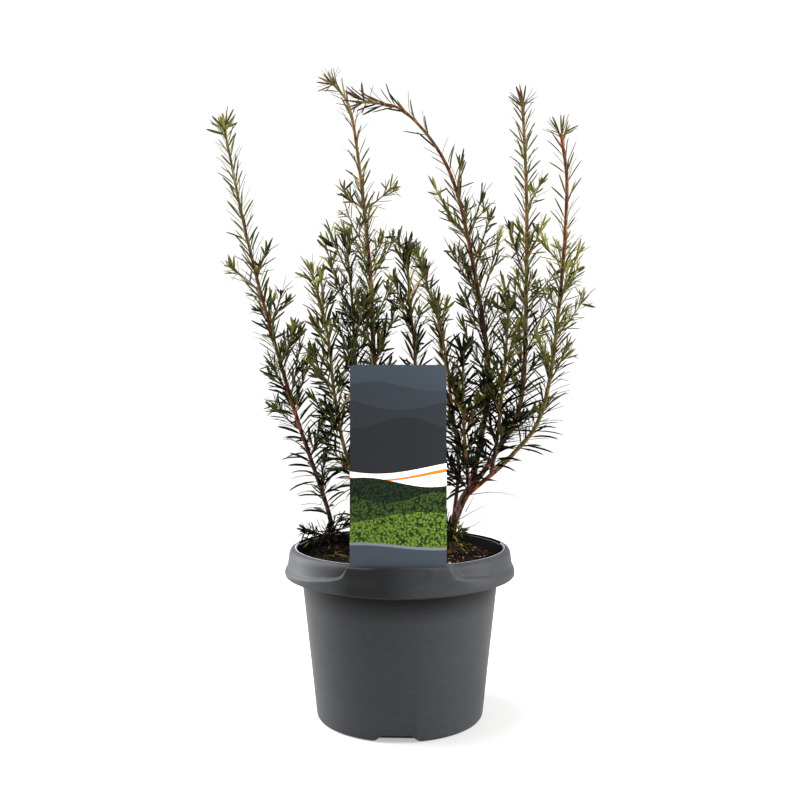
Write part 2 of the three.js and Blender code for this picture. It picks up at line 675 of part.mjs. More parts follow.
const { lines, shoots } = growShoots();
const { parts: wood, guards } = woodParts(lines);
for (const [name, solid] of Object.entries(wood)) {
  yew.add(meshOf(name, solid, FINISHES.wood()));
}
for (const [name, solid] of Object.entries(foliageParts(lines, shoots, guards))) {
  yew.add(meshOf(name, solid, FINISHES.needles()));
}

export default yew;
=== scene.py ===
# %% [markdown]
# A young groenland yew in its nursery pot.
# The real thing is a grafted or rooted cutting of a hybrid yew, about two years old.  Three short stems
# rise from damp potting soil and divide into leaders, and every leader is clothed in needles and in
# short side shoots.  The pot is moulded polypropylene, and a printed plastic label stands in its rim.
#
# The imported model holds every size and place, so it is loaded first and nothing in it is moved.  Each
# piece made below replaces one of its solids with a finer mesh that stays in the same space.

# %% Load the fixed frame
import json
import math

import bmesh
import bpy
import numpy as np
from mathutils import Matrix, Vector, noise

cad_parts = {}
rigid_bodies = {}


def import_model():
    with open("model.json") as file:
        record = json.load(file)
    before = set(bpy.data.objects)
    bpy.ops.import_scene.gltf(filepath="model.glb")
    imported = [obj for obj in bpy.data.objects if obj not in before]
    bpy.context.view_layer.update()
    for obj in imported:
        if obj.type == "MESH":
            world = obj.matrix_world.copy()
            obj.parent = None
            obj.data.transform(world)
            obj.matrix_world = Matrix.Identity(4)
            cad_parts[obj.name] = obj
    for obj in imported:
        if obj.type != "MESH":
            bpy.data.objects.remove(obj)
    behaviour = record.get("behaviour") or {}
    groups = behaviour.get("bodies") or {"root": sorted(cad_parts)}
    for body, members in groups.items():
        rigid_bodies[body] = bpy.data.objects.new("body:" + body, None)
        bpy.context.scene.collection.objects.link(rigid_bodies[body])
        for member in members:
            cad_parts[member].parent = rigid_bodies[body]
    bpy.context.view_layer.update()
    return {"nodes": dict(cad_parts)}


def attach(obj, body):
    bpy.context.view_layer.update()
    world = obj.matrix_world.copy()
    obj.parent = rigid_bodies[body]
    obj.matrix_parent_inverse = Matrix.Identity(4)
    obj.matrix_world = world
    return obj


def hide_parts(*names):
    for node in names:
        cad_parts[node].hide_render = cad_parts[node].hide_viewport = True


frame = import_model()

MM = 0.001
print("solids in the frame:", len(frame["nodes"]))

# %% [markdown]
# The camera stands where the photographer stood: 78 cm in front of the pot's axis, at half the plant's
# height, and tipped down a little.  A camera could be placed by eye, but a place and a focal length
# worked out from the pot's known sizes give the same picture each time.

# %% Camera
CAMERA_PLACE = (-0.7, -778.0, 282.0)
CAMERA_TIP = math.radians(1.57)
FOCAL_LENGTH_PIXELS = 938.0
LONG_SIDE_PIXELS = 800.0
SENSOR_MM = 36.0

camera_data = bpy.data.cameras.new("camera")
camera_data.sensor_width = SENSOR_MM
camera_data.lens = SENSOR_MM * FOCAL_LENGTH_PIXELS / LONG_SIDE_PIXELS
camera = bpy.data.objects.new("camera", camera_data)
camera.location = [MM * value for value in CAMERA_PLACE]
camera.rotation_euler = (math.pi / 2 - CAMERA_TIP, 0, 0)
bpy.context.scene.collection.objects.link(camera)
bpy.context.scene.camera = camera
print("lens in mm:", round(camera_data.lens, 2))

# %% [markdown]
# Colours are picked as sRGB hex values, as a paint card gives them, but light adds up on a linear
# scale.  One function turns the first into the second.  A second one adds a shader node: it takes the
# node's settings by name, and for each input either a value or the output that is linked to it.  A
# colour ramp takes its stops too, as places and hex colours.  A node that mixes two colours has more
# sockets than it shows, so the ones in use get names here.

# %% Helpers for colours and shader nodes
FACTOR, UNDER, OVER, MIXED = 0, 6, 7, 2
LAID = {"data_type": "RGBA"}
TINTED = {"data_type": "RGBA", "blend_type": "MULTIPLY"}


def linear(hex_colour):
    """Linear RGBA of an sRGB colour such as '#4b4d50'."""
    parts = [int(hex_colour[k:k + 2], 16) / 255 for k in (1, 3, 5)]
    return (*[p / 12.92 if p <= 0.04045 else ((p + 0.055) / 1.055) ** 2.4 for p in parts], 1.0)


def add(tree, kind, inputs=None, stops=(), **settings):
    """Adds a shader node with its settings, links and, for a colour ramp, its stops."""
    made = tree.nodes.new("ShaderNode" + kind)
    for name, value in settings.items():
        setattr(made, name, value)
    for socket, value in (inputs or {}).items():
        if isinstance(value, bpy.types.NodeSocket):
            tree.links.new(value, made.inputs[socket])
        else:
            made.inputs[socket].default_value = value
    if stops:
        elements = made.color_ramp.elements
        while len(elements) < len(stops):
            elements.new(1.0)
        for element, (at, colour) in zip(elements, stops):
            element.position, element.color = at, linear(colour)
    return made


def new_material(name, **shader):
    """An empty material with a Principled shader; returns it, its tree and the shader node."""
    made = bpy.data.materials.new(name)
    made.use_nodes = True
    tree = made.node_tree
    tree.nodes.clear()
    surface = add(tree, "BsdfPrincipled", {key.replace("_", " "): value for key, value in shader.items()})
    add(tree, "OutputMaterial", {"Surface": surface.outputs["BSDF"]})
    return made, tree, surface


def relief(tree, surface, height, strength, distance_mm):
    """Lets a pattern stand out of the surface by a small distance."""
    bump = add(tree, "Bump", {"Strength": strength, "Distance": distance_mm * MM, "Height": height})
    tree.links.new(bump.outputs["Normal"], surface.inputs["Normal"])


def ramp_by_place(tree, value, span_mm, stops):
    """Colours by a length on the object: the stops are shares of the way between two places in mm."""
    low, high = [MM * end for end in span_mm]
    share = add(tree, "MapRange", {"Value": value, "From Min": low, "From Max": high})
    return add(tree, "ValToRGB", {"Fac": share.outputs["Result"]}, stops).outputs["Color"]


# %% [markdown]
# The studio is a pale table in a white surround, so nothing but the plant has an edge.  The surround
# gives soft light from all sides.  Two tall soft boxes at the sides draw the bright edges on the round
# pot, and a large one above to the left gives a soft shadow towards the right.  The table is a light
# table, as photographers use: it glows a little itself, which clears the foot of hard shadow.  It throws
# back less light than white paper would, so the undersides stay dark.

# %% Floor, surround and lights
FLOOR_SIDE = 1.8
SURROUND_STRENGTH = 1.06
TABLE_COLOUR = "#9c9c9a"
TABLE_GLOW = 0.42
TABLE_GRAIN_PER_METRE = 900.0
WHITE = (1, 1, 1, 1)

paper, tree, surface = new_material("table_top", Roughness=0.8, IOR=1.5, Emission_Strength=TABLE_GLOW)
surface.inputs["Base Color"].default_value = linear(TABLE_COLOUR)
surface.inputs["Emission Color"].default_value = WHITE
grain = add(tree, "TexNoise", {"Scale": TABLE_GRAIN_PER_METRE, "Detail": 2.0})
relief(tree, surface, grain.outputs["Fac"], 0.05, 0.2)

half = FLOOR_SIDE / 2
floor_corners = [(-half, -half, 0), (half, -half, 0), (half, half, 0), (-half, half, 0)]
floor_mesh = bpy.data.meshes.new("floor")
floor_mesh.from_pydata(floor_corners, [], [(0, 1, 2, 3)])
floor_mesh.materials.append(paper)
floor = bpy.data.objects.new("floor", floor_mesh)
bpy.context.scene.collection.objects.link(floor)

world = bpy.data.worlds.new("surround")
world.use_nodes = True
backdrop = world.node_tree.nodes["Background"]
backdrop.inputs["Color"].default_value = WHITE
backdrop.inputs["Strength"].default_value = SURROUND_STRENGTH
bpy.context.scene.world = world
bpy.context.scene.view_settings.view_transform = "Standard"

SOFT_BOXES = {
    "soft_box_left": {"place": (-1.3, 0.5, 0.6), "size": (0.7, 1.4), "watts": 56},
    "soft_box_right": {"place": (1.3, -0.25, 0.5), "size": (0.6, 1.3), "watts": 43},
    "soft_box_above": {"place": (-0.4, 0.0, 1.7), "size": (0.9, 0.9), "watts": 85},
}
AIM = Vector((0, 0, 0.22))

for name, box in SOFT_BOXES.items():
    light = bpy.data.lights.new(name, "AREA")
    light.shape = "RECTANGLE"
    light.size, light.size_y = box["size"]
    light.energy = box["watts"]
    lamp = bpy.data.objects.new(name, light)
    lamp.location = box["place"]
    lamp.rotation_euler = (AIM - lamp.location).to_track_quat("-Z", "Y").to_euler()
    bpy.context.scene.collection.objects.link(lamp)
print("lights:", len(SOFT_BOXES))

# %% [markdown]
# Thousands of needles are made as arrays of corners and faces, which is quick and leaves plain meshes.
# One function turns such arrays into an object: lengths come in millimetres, faces may be of several
# materials, and edges sharper than a chosen angle stay crisp while the rest is shaded smooth.

# %% Helper that builds a mesh object
def build(name, points, quads, tris=(), materials=(), tints=None, crisp=40.0):
    """Object from arrays of corners in mm, four-sided and three-sided faces, and a material per face."""
    points = np.asarray(points, float).reshape(-1, 3) * MM
    quads = np.asarray(quads, int).reshape(-1, 4)
    tris = np.asarray(tris, int).reshape(-1, 3)
    counts = np.concatenate([np.full(len(quads), 4), np.full(len(tris), 3)])
    corners = np.concatenate([quads.ravel(), tris.ravel()])
    mesh = bpy.data.meshes.new(name)
    mesh.vertices.add(len(points))
    mesh.vertices.foreach_set("co", points.ravel())
    mesh.loops.add(len(corners))
    mesh.loops.foreach_set("vertex_index", corners)
    mesh.polygons.add(len(counts))
    mesh.polygons.foreach_set("loop_start", np.cumsum(counts) - counts)
    tints = np.zeros(len(counts), int) if tints is None else np.asarray(tints, int)
    used, slots = np.unique(tints, return_inverse=True)
    for tint in used:
        mesh.materials.append(materials[tint] if materials else None)
    mesh.polygons.foreach_set("material_index", slots.ravel())
    mesh.polygons.foreach_set("use_smooth", np.ones(len(counts), bool))
    mesh.update(calc_edges=True)
    mesh.validate()
    mesh.set_sharp_from_angle(angle=math.radians(crisp))
    made = bpy.data.objects.new(name, mesh)
    bpy.context.scene.collection.objects.link(made)
    return made


def settle(piece, slot, *nodes):
    """The piece rides on the plant's one body and stands for the solids named; slot is not used."""
    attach(piece, "root")
    if nodes:
        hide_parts(*nodes)
    print(piece.name, "faces:", len(piece.data.polygons))
    return piece


def grid_faces(rows, columns, closed):
    """Four-sided faces of a grid of corners, row by row; closed joins each row's end to its start."""
    across = columns if closed else columns - 1
    row, column = np.meshgrid(np.arange(rows - 1), np.arange(across), indexing="ij")
    low = row * columns + column
    high = row * columns + (column + 1) % columns
    return np.stack([low, high, high + columns, low + columns], -1).reshape(-1, 4)


# %% [markdown]
# The pot.  It is injection-moulded polypropylene, coloured charcoal in the mass, with walls of 1.5 mm.
# The wall opens upwards so that pots can be stacked, and the rim is folded outwards into a skirt that
# stiffens it.  In front the rim swells into a flat panel with a slot for the label, at the far side
# it has a gutter, and the foot has three notches and six holes that drain it.
#
# A body of revolution could be made with a Screw modifier.  Here the outline is turned by hand, because
# the rim is not round all the way: each corner of the outline has a second place that it takes on the
# panel, and a smooth share between 0 and 1 blends the two.  The panel is half as wide as PANEL_HALVES
# says at each height: it has a clear edge near the top, and runs out softly into the band below.

# %% Outlines with rounded corners
POT_HEIGHT = 140.0
POT_FLOOR = 2.2
POT_WALL = 1.5
WALL_FOOT = {"radius": 69.1, "height": 3.5}
WALL_TOP = {"radius": 81.0, "height": 113.0}
LIP_INNER_RADIUS = 85.4
PANEL_FRONT = -95.6
PANEL_HEIGHTS = (117.0, 121.0, 124.0, 127.0, 129.5, 131.0, 134.0, 137.0, 140.0)
PANEL_HALVES = (130.0, 100.0, 76.0, 57.0, 46.0, 42.5, 40.2, 38.6, 37.0)
PANEL_BLENDS = (40.0, 36.0, 28.0, 16.0, 8.0, 5.0, 3.2, 2.6, 2.4)
PANEL_SOFTER_ON_RIGHT = 3.2
GUTTER = {"inner": 86.9, "outer": 89.7, "floor": 132.0, "lip": 137.6, "front": 12.0}
NOTCH = {"top_half": 11.0, "foot_half": 18.0, "height": 6.0, "inner": 58.0, "outer": 75.0, "margin": 1.8}
NOTCH_AZIMUTHS = (-92, 28, 148)
DRAIN = {"radius": 4.5, "circle": 46.0, "count": 6}


def rounded(corners, steps=4, closed=False):
    """Outline through the corners (across, up, rounding), each one rounded off by a small curve."""
    corners = [np.array(corner, float) for corner in corners]
    count = len(corners)
    points = []
    for k, corner in enumerate(corners):
        here, size = corner[:2], corner[2]
        if size == 0 or (not closed and k in (0, count - 1)):
            points.append(here)
            continue
        before, after = corners[k - 1][:2], corners[(k + 1) % count][:2]
        start = here + (before - here) * min(size / np.linalg.norm(before - here), 0.5)
        end = here + (after - here) * min(size / np.linalg.norm(after - here), 0.5)
        for t in np.linspace(0, 1, steps + 1):
            points.append((1 - t) ** 2 * start + 2 * t * (1 - t) * here + t**2 * end)
    return np.array(points)


def inner_radius(height):
    """Inside of the pot's wall: straight up to the rim, and then opening to the lip."""
    height = np.asarray(height, float)
    wall_share = (height - WALL_FOOT["height"]) / (WALL_TOP["height"] - WALL_FOOT["height"])
    low = WALL_FOOT["radius"] + (WALL_TOP["radius"] - WALL_FOOT["radius"]) * wall_share - POT_WALL
    rim_share = (height - WALL_TOP["height"]) / (POT_HEIGHT - WALL_TOP["height"])
    high = WALL_TOP["radius"] - POT_WALL + (LIP_INNER_RADIUS - WALL_TOP["radius"] + POT_WALL) * rim_share
    return np.where(height <= WALL_TOP["height"], low, high)


UP_OUTSIDE = [(0, 0, 0), (68.8, 0, 3.0), (81, 113, 3.0), (81.8, 124, 0.9), (91.3, 124, 1.2),
              (93.3, 117.5, 0.6), (94.9, 117.5, 0.8)]
PLAIN_RIM = [(95, 119.4, 1.6), (93.0, 125.5, 3.0), (92.2, 130, 3.0), (91.5, 136.4, 2.5),
             (89.6, 139.2, 2.2), (86.2, 140, 0.6)]
PANEL_RIM = [(95.1, 119.4, 1.6), (95.6, 125.5, 3.0), (98.0, 131, 3.0), (98.8, 136.4, 2.5),
             (98.0, 140, 2.0), (86.2, 140, 0.8)]
DOWN_INSIDE = [(85.3, 138.6, 0.8), (79.5, 113, 2.0), (float(inner_radius(POT_FLOOR)), POT_FLOOR, 3.0),
               (0, POT_FLOOR, 0)]
RIM_STEP = 0.8


def split_rim(one, other):
    """Adds points to both outlines, pair by pair, where the rim's pieces are longer than a step."""
    pairs = np.hstack([one, other])
    finer = [pairs[:1]]
    for start, end in zip(pairs, pairs[1:]):
        on_rim = min(start[0], end[0]) > WALL_TOP["radius"]
        count = math.ceil(np.linalg.norm((end - start)[:2]) / RIM_STEP) if on_rim else 1
        finer.append(np.linspace(start, end, max(count, 1) + 1)[1:])
    pairs = np.concatenate(finer)
    return pairs[:, :2], pairs[:, 2:]


plain, on_panel = split_rim(*[rounded(UP_OUTSIDE + rim + DOWN_INSIDE) for rim in (PLAIN_RIM, PANEL_RIM)])
print("points of the outline:", len(plain))

# %% [markdown]
# The turned body has a column of corners every degree and a half, and every half degree near the
# panel, where the surface changes faster.  All corners on the axis are joined into one afterwards.

# %% Turn the pot's body
FRONT_COLUMNS = np.arange(-50, 50, 0.5)
OTHER_COLUMNS = np.arange(50, 310, 1.5)


def smooth(share):
    share = np.clip(share, 0, 1)
    return share * share * (3 - 2 * share)


def pot_body():
    azimuths = np.radians(np.concatenate([FRONT_COLUMNS, OTHER_COLUMNS]) - 90)
    turn = azimuths[None, :]
    x_plain = plain[:, :1] * np.cos(turn)
    height = (plain[:, 1:] + on_panel[:, 1:]) / 2
    half = np.interp(height, PANEL_HEIGHTS, PANEL_HALVES)
    softer = np.where(x_plain > 0, PANEL_SOFTER_ON_RIGHT, 1.0)
    blend = np.interp(height, PANEL_HEIGHTS, PANEL_BLENDS) * softer
    share = smooth((half + blend / 2 - np.abs(x_plain)) / blend) * (np.sin(turn) < 0)
    radius = plain[:, :1] * (1 - share) + on_panel[:, :1] * share
    up = plain[:, 1:] * (1 - share) + on_panel[:, 1:] * share
    x, y = radius * np.cos(turn), radius * np.sin(turn)
    y = np.maximum(y, PANEL_FRONT)
    points = np.stack([x, y, up], -1).reshape(-1, 3)
    return build("moulded_pot", points, grid_faces(len(plain), azimuths.size, True))


def close(piece, ends=False):
    """Joins corners that fall together, fills open ends if asked, and turns all faces outwards."""
    shape = bmesh.new()
    shape.from_mesh(piece.data)
    bmesh.ops.remove_doubles(shape, verts=shape.verts, dist=0.001 * MM)
    if ends:
        bmesh.ops.holes_fill(shape, edges=shape.edges)
        bmesh.ops.triangulate(shape, faces=[face for face in shape.faces if len(face.verts) > 4])
    bmesh.ops.recalc_face_normals(shape, faces=shape.faces)
    shape.to_mesh(piece.data)
    shape.free()


pot = pot_body()
close(pot)
print("faces of the turned body:", len(pot.data.polygons))

# %% [markdown]
# What interrupts the round is cut out with Boolean modifiers, as a toolmaker adds inserts to a mould:
# the gutter, the slot, the foot's notches with a pocket behind each, and the drain holes.  Each cutter
# is a prism, made from an outline and a depth, or a body turned from an outline.  A modifier works on a
# copy of the mesh, so what it makes is taken as the new mesh at once and the cutter is removed.

# %% Cutters
def prism(name, outline, near, far, azimuth):
    """A solid with an upright outline (across, up), drawn out from one distance to another."""
    turn = math.radians(azimuth)
    out, along = np.array([math.cos(turn), math.sin(turn)]), np.array([-math.sin(turn), math.cos(turn)])
    rings = []
    for distance in (near, far):
        flat = out * distance + outline[:, :1] * along
        rings.append(np.column_stack([flat, outline[:, 1]]))
    piece = build(name, np.concatenate(rings), grid_faces(2, len(outline), True))
    close(piece, ends=True)
    return piece


def turned(name, outline, columns=240):
    """A body of revolution from an outline (radius, height)."""
    outline = np.asarray(outline, float)
    turn = np.arange(columns) * 2 * math.pi / columns
    x, y = outline[:, :1] * np.cos(turn), outline[:, :1] * np.sin(turn)
    points = np.stack([x, y, np.repeat(outline[:, 1:], columns, axis=1)], -1)
    piece = build(name, points, grid_faces(len(outline), columns, True))
    close(piece)
    return piece


def apply_modifier(piece, kind, **settings):
    """Runs one modifier on the piece and keeps what it makes as the piece's own mesh."""
    step = piece.modifiers.new("step", kind)
    for name, value in settings.items():
        setattr(step, name, value)
    shaped = piece.evaluated_get(bpy.context.evaluated_depsgraph_get())
    result = bpy.data.meshes.new_from_object(shaped)
    piece.modifiers.clear()
    piece.data = result


def combine(piece, tool, how):
    """Adds, takes away or keeps what the piece shares with the tool, and removes the tool."""
    apply_modifier(piece, "BOOLEAN", operation=how, object=tool, solver="EXACT")
    bpy.data.objects.remove(tool)


def notch_outline(margin):
    low, high = NOTCH["foot_half"] + margin, NOTCH["top_half"] + margin
    top = NOTCH["height"] + margin
    corners = [(-30, -2, 0), (-30, -0.05, 0), (-low, -0.05, 4), (-high, top, 2), (high, top, 2),
               (low, -0.05, 4), (30, -0.05, 0), (30, -2, 0)]
    return rounded(corners, closed=True)


def notch_block(azimuth, margin):
    return prism("notch", notch_outline(margin), NOTCH["inner"] - margin, NOTCH["outer"] + 5, azimuth)


print("notch, across its foot in mm:", 2 * NOTCH["foot_half"])

# %% [markdown]
# The label's card is needed twice: as it is, and grown by the slot's play as the cutter of the slot.  It
# is a grid of corners that goes up the card, with a front and a back, and narrows over its rounded
# upper corners.

# %% The shape of the label's card
LABEL = {"middle": -1.3, "width": 71.6, "foot": 130.0, "top": 289.0, "thickness": 0.6, "corner": 2.5}
LABEL_FRONT = -92.5
LABEL_LEAN = 0.052
LABEL_BEND_RADIUS = 220.0
SLOT_CLEARANCE = 0.35
CORNER_STEPS = (15, 30, 45, 60, 75, 90)


def label_front(x, z):
    """Depth of the label's face: it leans back and is bowed towards the front."""
    bow = (x - LABEL["middle"]) ** 2 / (2 * LABEL_BEND_RADIUS)
    return LABEL_FRONT + LABEL_LEAN * (z - POT_HEIGHT) + bow


def card(name, margin, top, columns=40, rows=60):
    """The label's card with rounded upper corners, grown by a margin on all sides."""
    half, foot = LABEL["width"] / 2 + margin, LABEL["foot"] - margin
    corner = LABEL["corner"]
    round_end = top - corner * (1 - np.sin(np.radians(CORNER_STEPS)))
    heights = np.concatenate([np.linspace(foot, top - corner, rows), round_end])
    beyond = np.clip(heights - (top - corner), 0, corner)
    halves = half - corner + np.sqrt(corner**2 - beyond**2)
    across = np.linspace(-1, 1, columns + 1)
    x = LABEL["middle"] + halves[:, None] * across[None]
    z = np.repeat(heights[:, None], columns + 1, axis=1)
    front = np.stack([x, label_front(x, z) - margin, z], -1)
    back = np.stack([x, label_front(x, z) + LABEL["thickness"] + margin, z], -1)
    rings = np.concatenate([front, back[:, ::-1]], axis=1)
    quads = list(grid_faces(len(heights), rings.shape[1], True))
    wide, last = rings.shape[1], (len(heights) - 1) * rings.shape[1]
    for start, flip in ((0, False), (last, True)):
        for k in range(columns):
            face = [start + k, start + k + 1, start + wide - 2 - k, start + wide - 1 - k]
            quads.append(face if flip else face[::-1])
    piece = build(name, rings, quads)
    close(piece)
    return piece


print("label above the rim in mm:", LABEL["top"] - POT_HEIGHT)

# %% [markdown]
# Each notch has a pocket behind it, cut to the outside of the wall so that it never stands proud.  The
# gutter takes two rings on the far side: a deep one, and a shallow one that lowers the lip before it.

# %% Cut the pot
FOOT_OUTSIDE = [(0, 0), *rounded([(0, 0, 0), (68.8, 0, 3.0), (70.9, 20, 0)])[1:], (0, 20)]
ABOVE_RIM = 142
FAR_HALF = np.array([(-120.0, 130.0), (120.0, 130.0), (120.0, 145.0), (-120.0, 145.0)])
FAR_END, TO_THE_BACK = 120, 90

for azimuth in NOTCH_AZIMUTHS:
    pocket = notch_block(azimuth, NOTCH["margin"])
    combine(pocket, turned("outside", FOOT_OUTSIDE), "INTERSECT")
    combine(pot, pocket, "UNION")
    combine(pot, notch_block(azimuth, 0.0), "DIFFERENCE")
for k in range(DRAIN["count"]):
    turn = 2 * math.pi * k / DRAIN["count"]
    hole = turned("hole", [(0, -3), (DRAIN["radius"], -3), (DRAIN["radius"], 6), (0, 6)], columns=40)
    middle = DRAIN["circle"] * np.array([math.cos(turn), math.sin(turn), 0])
    hole.data.transform(Matrix.Translation(Vector(middle) * MM))
    combine(pot, hole, "DIFFERENCE")
outer = GUTTER["outer"]
for inner, bottom in ((GUTTER["inner"], GUTTER["floor"]), (LIP_INNER_RADIUS - 2, GUTTER["lip"])):
    corners = [(inner, bottom), (outer, bottom), (outer, ABOVE_RIM), (inner, ABOVE_RIM), (inner, bottom)]
    ring = turned("ring", corners)
    combine(ring, prism("far", FAR_HALF, GUTTER["front"], FAR_END, TO_THE_BACK), "INTERSECT")
    combine(pot, ring, "DIFFERENCE")
combine(pot, card("slot", SLOT_CLEARANCE, POT_HEIGHT + 4), "DIFFERENCE")
print("faces of the cut pot:", len(pot.data.polygons))

# %% [markdown]
# The plastic is charcoal all through, with the satin grain of a blasted mould.  Polypropylene has an
# index of refraction of 1.49.  The grain is a fraction of a millimetre; it is drawn at 0.5 mm so that a
# close view can show it, and a slow cloudiness of a few per cent stands for uneven flow.
#
# Some colour on the pot is painted light and shade.  By height, painted shade darkens the wall towards the
# skirt and nearly blackens the strip right under it, where the skirt's shadow falls.  Painted shade also
# darkens the left part of the rim's panel, and a painted highlight runs as a paler line along the inner
# edge of the lip.  Inside the pot and the gutter, the wall is a dull near-black plastic of painted shade.

# %% Materials of the pot
POT_GRAIN_MM = 0.5
POT_CLOUD_MM = 30.0
# Painted shade by height: the wall darkens towards the skirt and is nearly black right under it.
WALL_SHADE = {"up": (0.0, 114.5), "stops": [(0.0, "#ffffff"), (0.3, "#eeeeee"), (0.82, "#e6e6e6"),
                                      (0.91, "#a6a6a6"), (0.985, "#0c0c0c"), (0.995, "#e6e6e6")]}
# Painted shade: the left part of the rim's panel, in front, is darker.
PANEL_SHADE = {"across": (-52.0, 48.0), "above": 116.0,
          "stops": [(0.0, "#ffffff"), (0.14, "#9c9c9c"), (0.4, "#9c9c9c"), (0.66, "#ffffff")]}
# Painted highlight: a paler line along the inner edge of the lip.
LIP_HIGHLIGHT = {"radii": (85.2, 87.2), "above": 138.9, "colour": "#828386",
            "stops": [(0.0, "#000000"), (0.15, "#ffffff"), (0.7, "#ffffff"), (1.0, "#000000")]}


def painted_light_on_pot(tree, colour):
    """The colour with painted shade by height and on the panel's left, and a painted highlight on the lip."""
    axes = add(tree, "SeparateXYZ", {"Vector": add(tree, "TexCoord").outputs["Object"]}).outputs
    wall_shade = ramp_by_place(tree, axes["Z"], WALL_SHADE["up"], WALL_SHADE["stops"])
    colour = add(tree, "Mix", {FACTOR: 1.0, UNDER: colour, OVER: wall_shade}, **TINTED).outputs[MIXED]
    panel_shade = ramp_by_place(tree, axes["X"], PANEL_SHADE["across"], PANEL_SHADE["stops"])
    on_rim = add(tree, "Math", {0: axes["Z"], 1: MM * PANEL_SHADE["above"]}, operation="GREATER_THAN").outputs[0]
    in_front = add(tree, "Math", {0: axes["Y"], 1: 0.0}, operation="LESS_THAN").outputs[0]
    both = add(tree, "Math", {0: on_rim, 1: in_front}, operation="MULTIPLY").outputs[0]
    colour = add(tree, "Mix", {FACTOR: both, UNDER: colour, OVER: panel_shade}, **TINTED).outputs[MIXED]
    flat = add(tree, "CombineXYZ", {"X": axes["X"], "Y": axes["Y"]}).outputs[0]
    out = add(tree, "VectorMath", {0: flat}, operation="LENGTH").outputs["Value"]
    lip_highlight = ramp_by_place(tree, out, LIP_HIGHLIGHT["radii"], LIP_HIGHLIGHT["stops"])
    on_lip = add(tree, "Math", {0: axes["Z"], 1: MM * LIP_HIGHLIGHT["above"]}, operation="GREATER_THAN").outputs[0]
    amount = add(tree, "Math", {0: lip_highlight, 1: on_lip}, operation="MULTIPLY").outputs[0]
    pale = linear(LIP_HIGHLIGHT["colour"])
    return add(tree, "Mix", {FACTOR: amount, UNDER: colour, OVER: pale}, **LAID).outputs[MIXED]


def pot_material(name, dark, light, sheen, gloss, light_painting=None):
    """Moulded plastic: a cloudy charcoal, satin, with a fine grain; if asked, painted shade and highlight."""
    made, tree, surface = new_material(name, IOR=1.49, Specular_IOR_Level=sheen)
    cloud = add(tree, "TexNoise", {"Scale": 1 / (POT_CLOUD_MM * MM), "Detail": 3.0}).outputs["Fac"]
    grain = add(tree, "TexNoise", {"Scale": 1 / (POT_GRAIN_MM * MM), "Detail": 2.0})
    colour = add(tree, "ValToRGB", {"Fac": cloud}, [(0.3, dark), (0.7, light)]).outputs["Color"]
    if light_painting:
        colour = light_painting(tree, colour)
    tree.links.new(colour, surface.inputs["Base Color"])
    shine = add(tree, "MapRange", {"Value": cloud, "To Min": gloss[0], "To Max": gloss[1]})
    tree.links.new(shine.outputs["Result"], surface.inputs["Roughness"])
    relief(tree, surface, grain.outputs["Fac"], 0.25, 0.05)
    return made


plastic = pot_material("charcoal_polypropylene", "#2f3033", "#333437", 0.1, (0.48, 0.52), painted_light_on_pot)
# Near-black dull plastic: painted shade on the inside of the pot and in the gutter.
inner_shade_plastic = pot_material("inner_shade_polypropylene", "#030303", "#060606", 0.01, (0.6, 0.75))
print("materials of the pot:", plastic.name, inner_shade_plastic.name)

# %% [markdown]
# No moulded edge is quite sharp.  A Bevel modifier rounds the edges that the cuts have left.  Then each
# face gets its material: the near-black plastic of painted shade is for the faces that look at the axis
# down to the floor, and for the gutter.

# %% Round the cut edges and finish the pot
EDGE_ROUNDING = 0.3
LOOKS_AT_AXIS = -0.3
SHADE_BELOW_RIM = 1.6


def dress(piece, materials, crisp=35.0):
    """Gives a finished mesh its materials and its shading."""
    piece.data.materials.clear()
    for material in materials:
        piece.data.materials.append(material)
    piece.data.shade_smooth()
    piece.data.set_sharp_from_angle(angle=math.radians(crisp))


apply_modifier(pot, "BEVEL", width=EDGE_ROUNDING * MM, segments=2, limit_method="ANGLE",
               angle_limit=math.radians(40), use_clamp_overlap=True)
dress(pot, [plastic, inner_shade_plastic])
GUTTER_MIDDLE = (GUTTER["inner"] + GUTTER["outer"]) / 2
GUTTER_REACH = (GUTTER["outer"] - GUTTER["inner"]) / 2 + 0.2
# Faces inside the pot and in the gutter take the near-black plastic of painted shade.
for face in pot.data.polygons:
    middle, out = face.center / MM, Vector((face.center.x, face.center.y, 0)).normalized()
    radius, far_side = middle.xy.length, middle.y > GUTTER["front"]
    top = GUTTER["lip"] if far_side else POT_HEIGHT - SHADE_BELOW_RIM
    looks_in = face.normal.dot(out) < LOOKS_AT_AXIS and radius < LIP_INNER_RADIUS + 0.5
    in_gutter = middle.y > GUTTER["front"] + 0.3 and abs(radius - GUTTER_MIDDLE) < GUTTER_REACH
    low_wall, below_lip = looks_in and POT_FLOOR < middle.z < top, middle.z > GUTTER["floor"] - 0.5
    face.material_index = int(low_wall or in_gutter and below_lip)
settle(pot, "pot_plastic", "pot")

# %% [markdown]
# The label is a card of PVC, 0.6 mm thick, bowed because its foot sits in a curved slot.  Its front is
# printed: slate above with misty hills, a pale wave with an orange rule, green fields and a slate foot.
# The print is drawn by a node tree, from the far layer to the near one, as a silk-screen printer lays
# one ink over another.  Each layer covers all that is below its own wavy line.

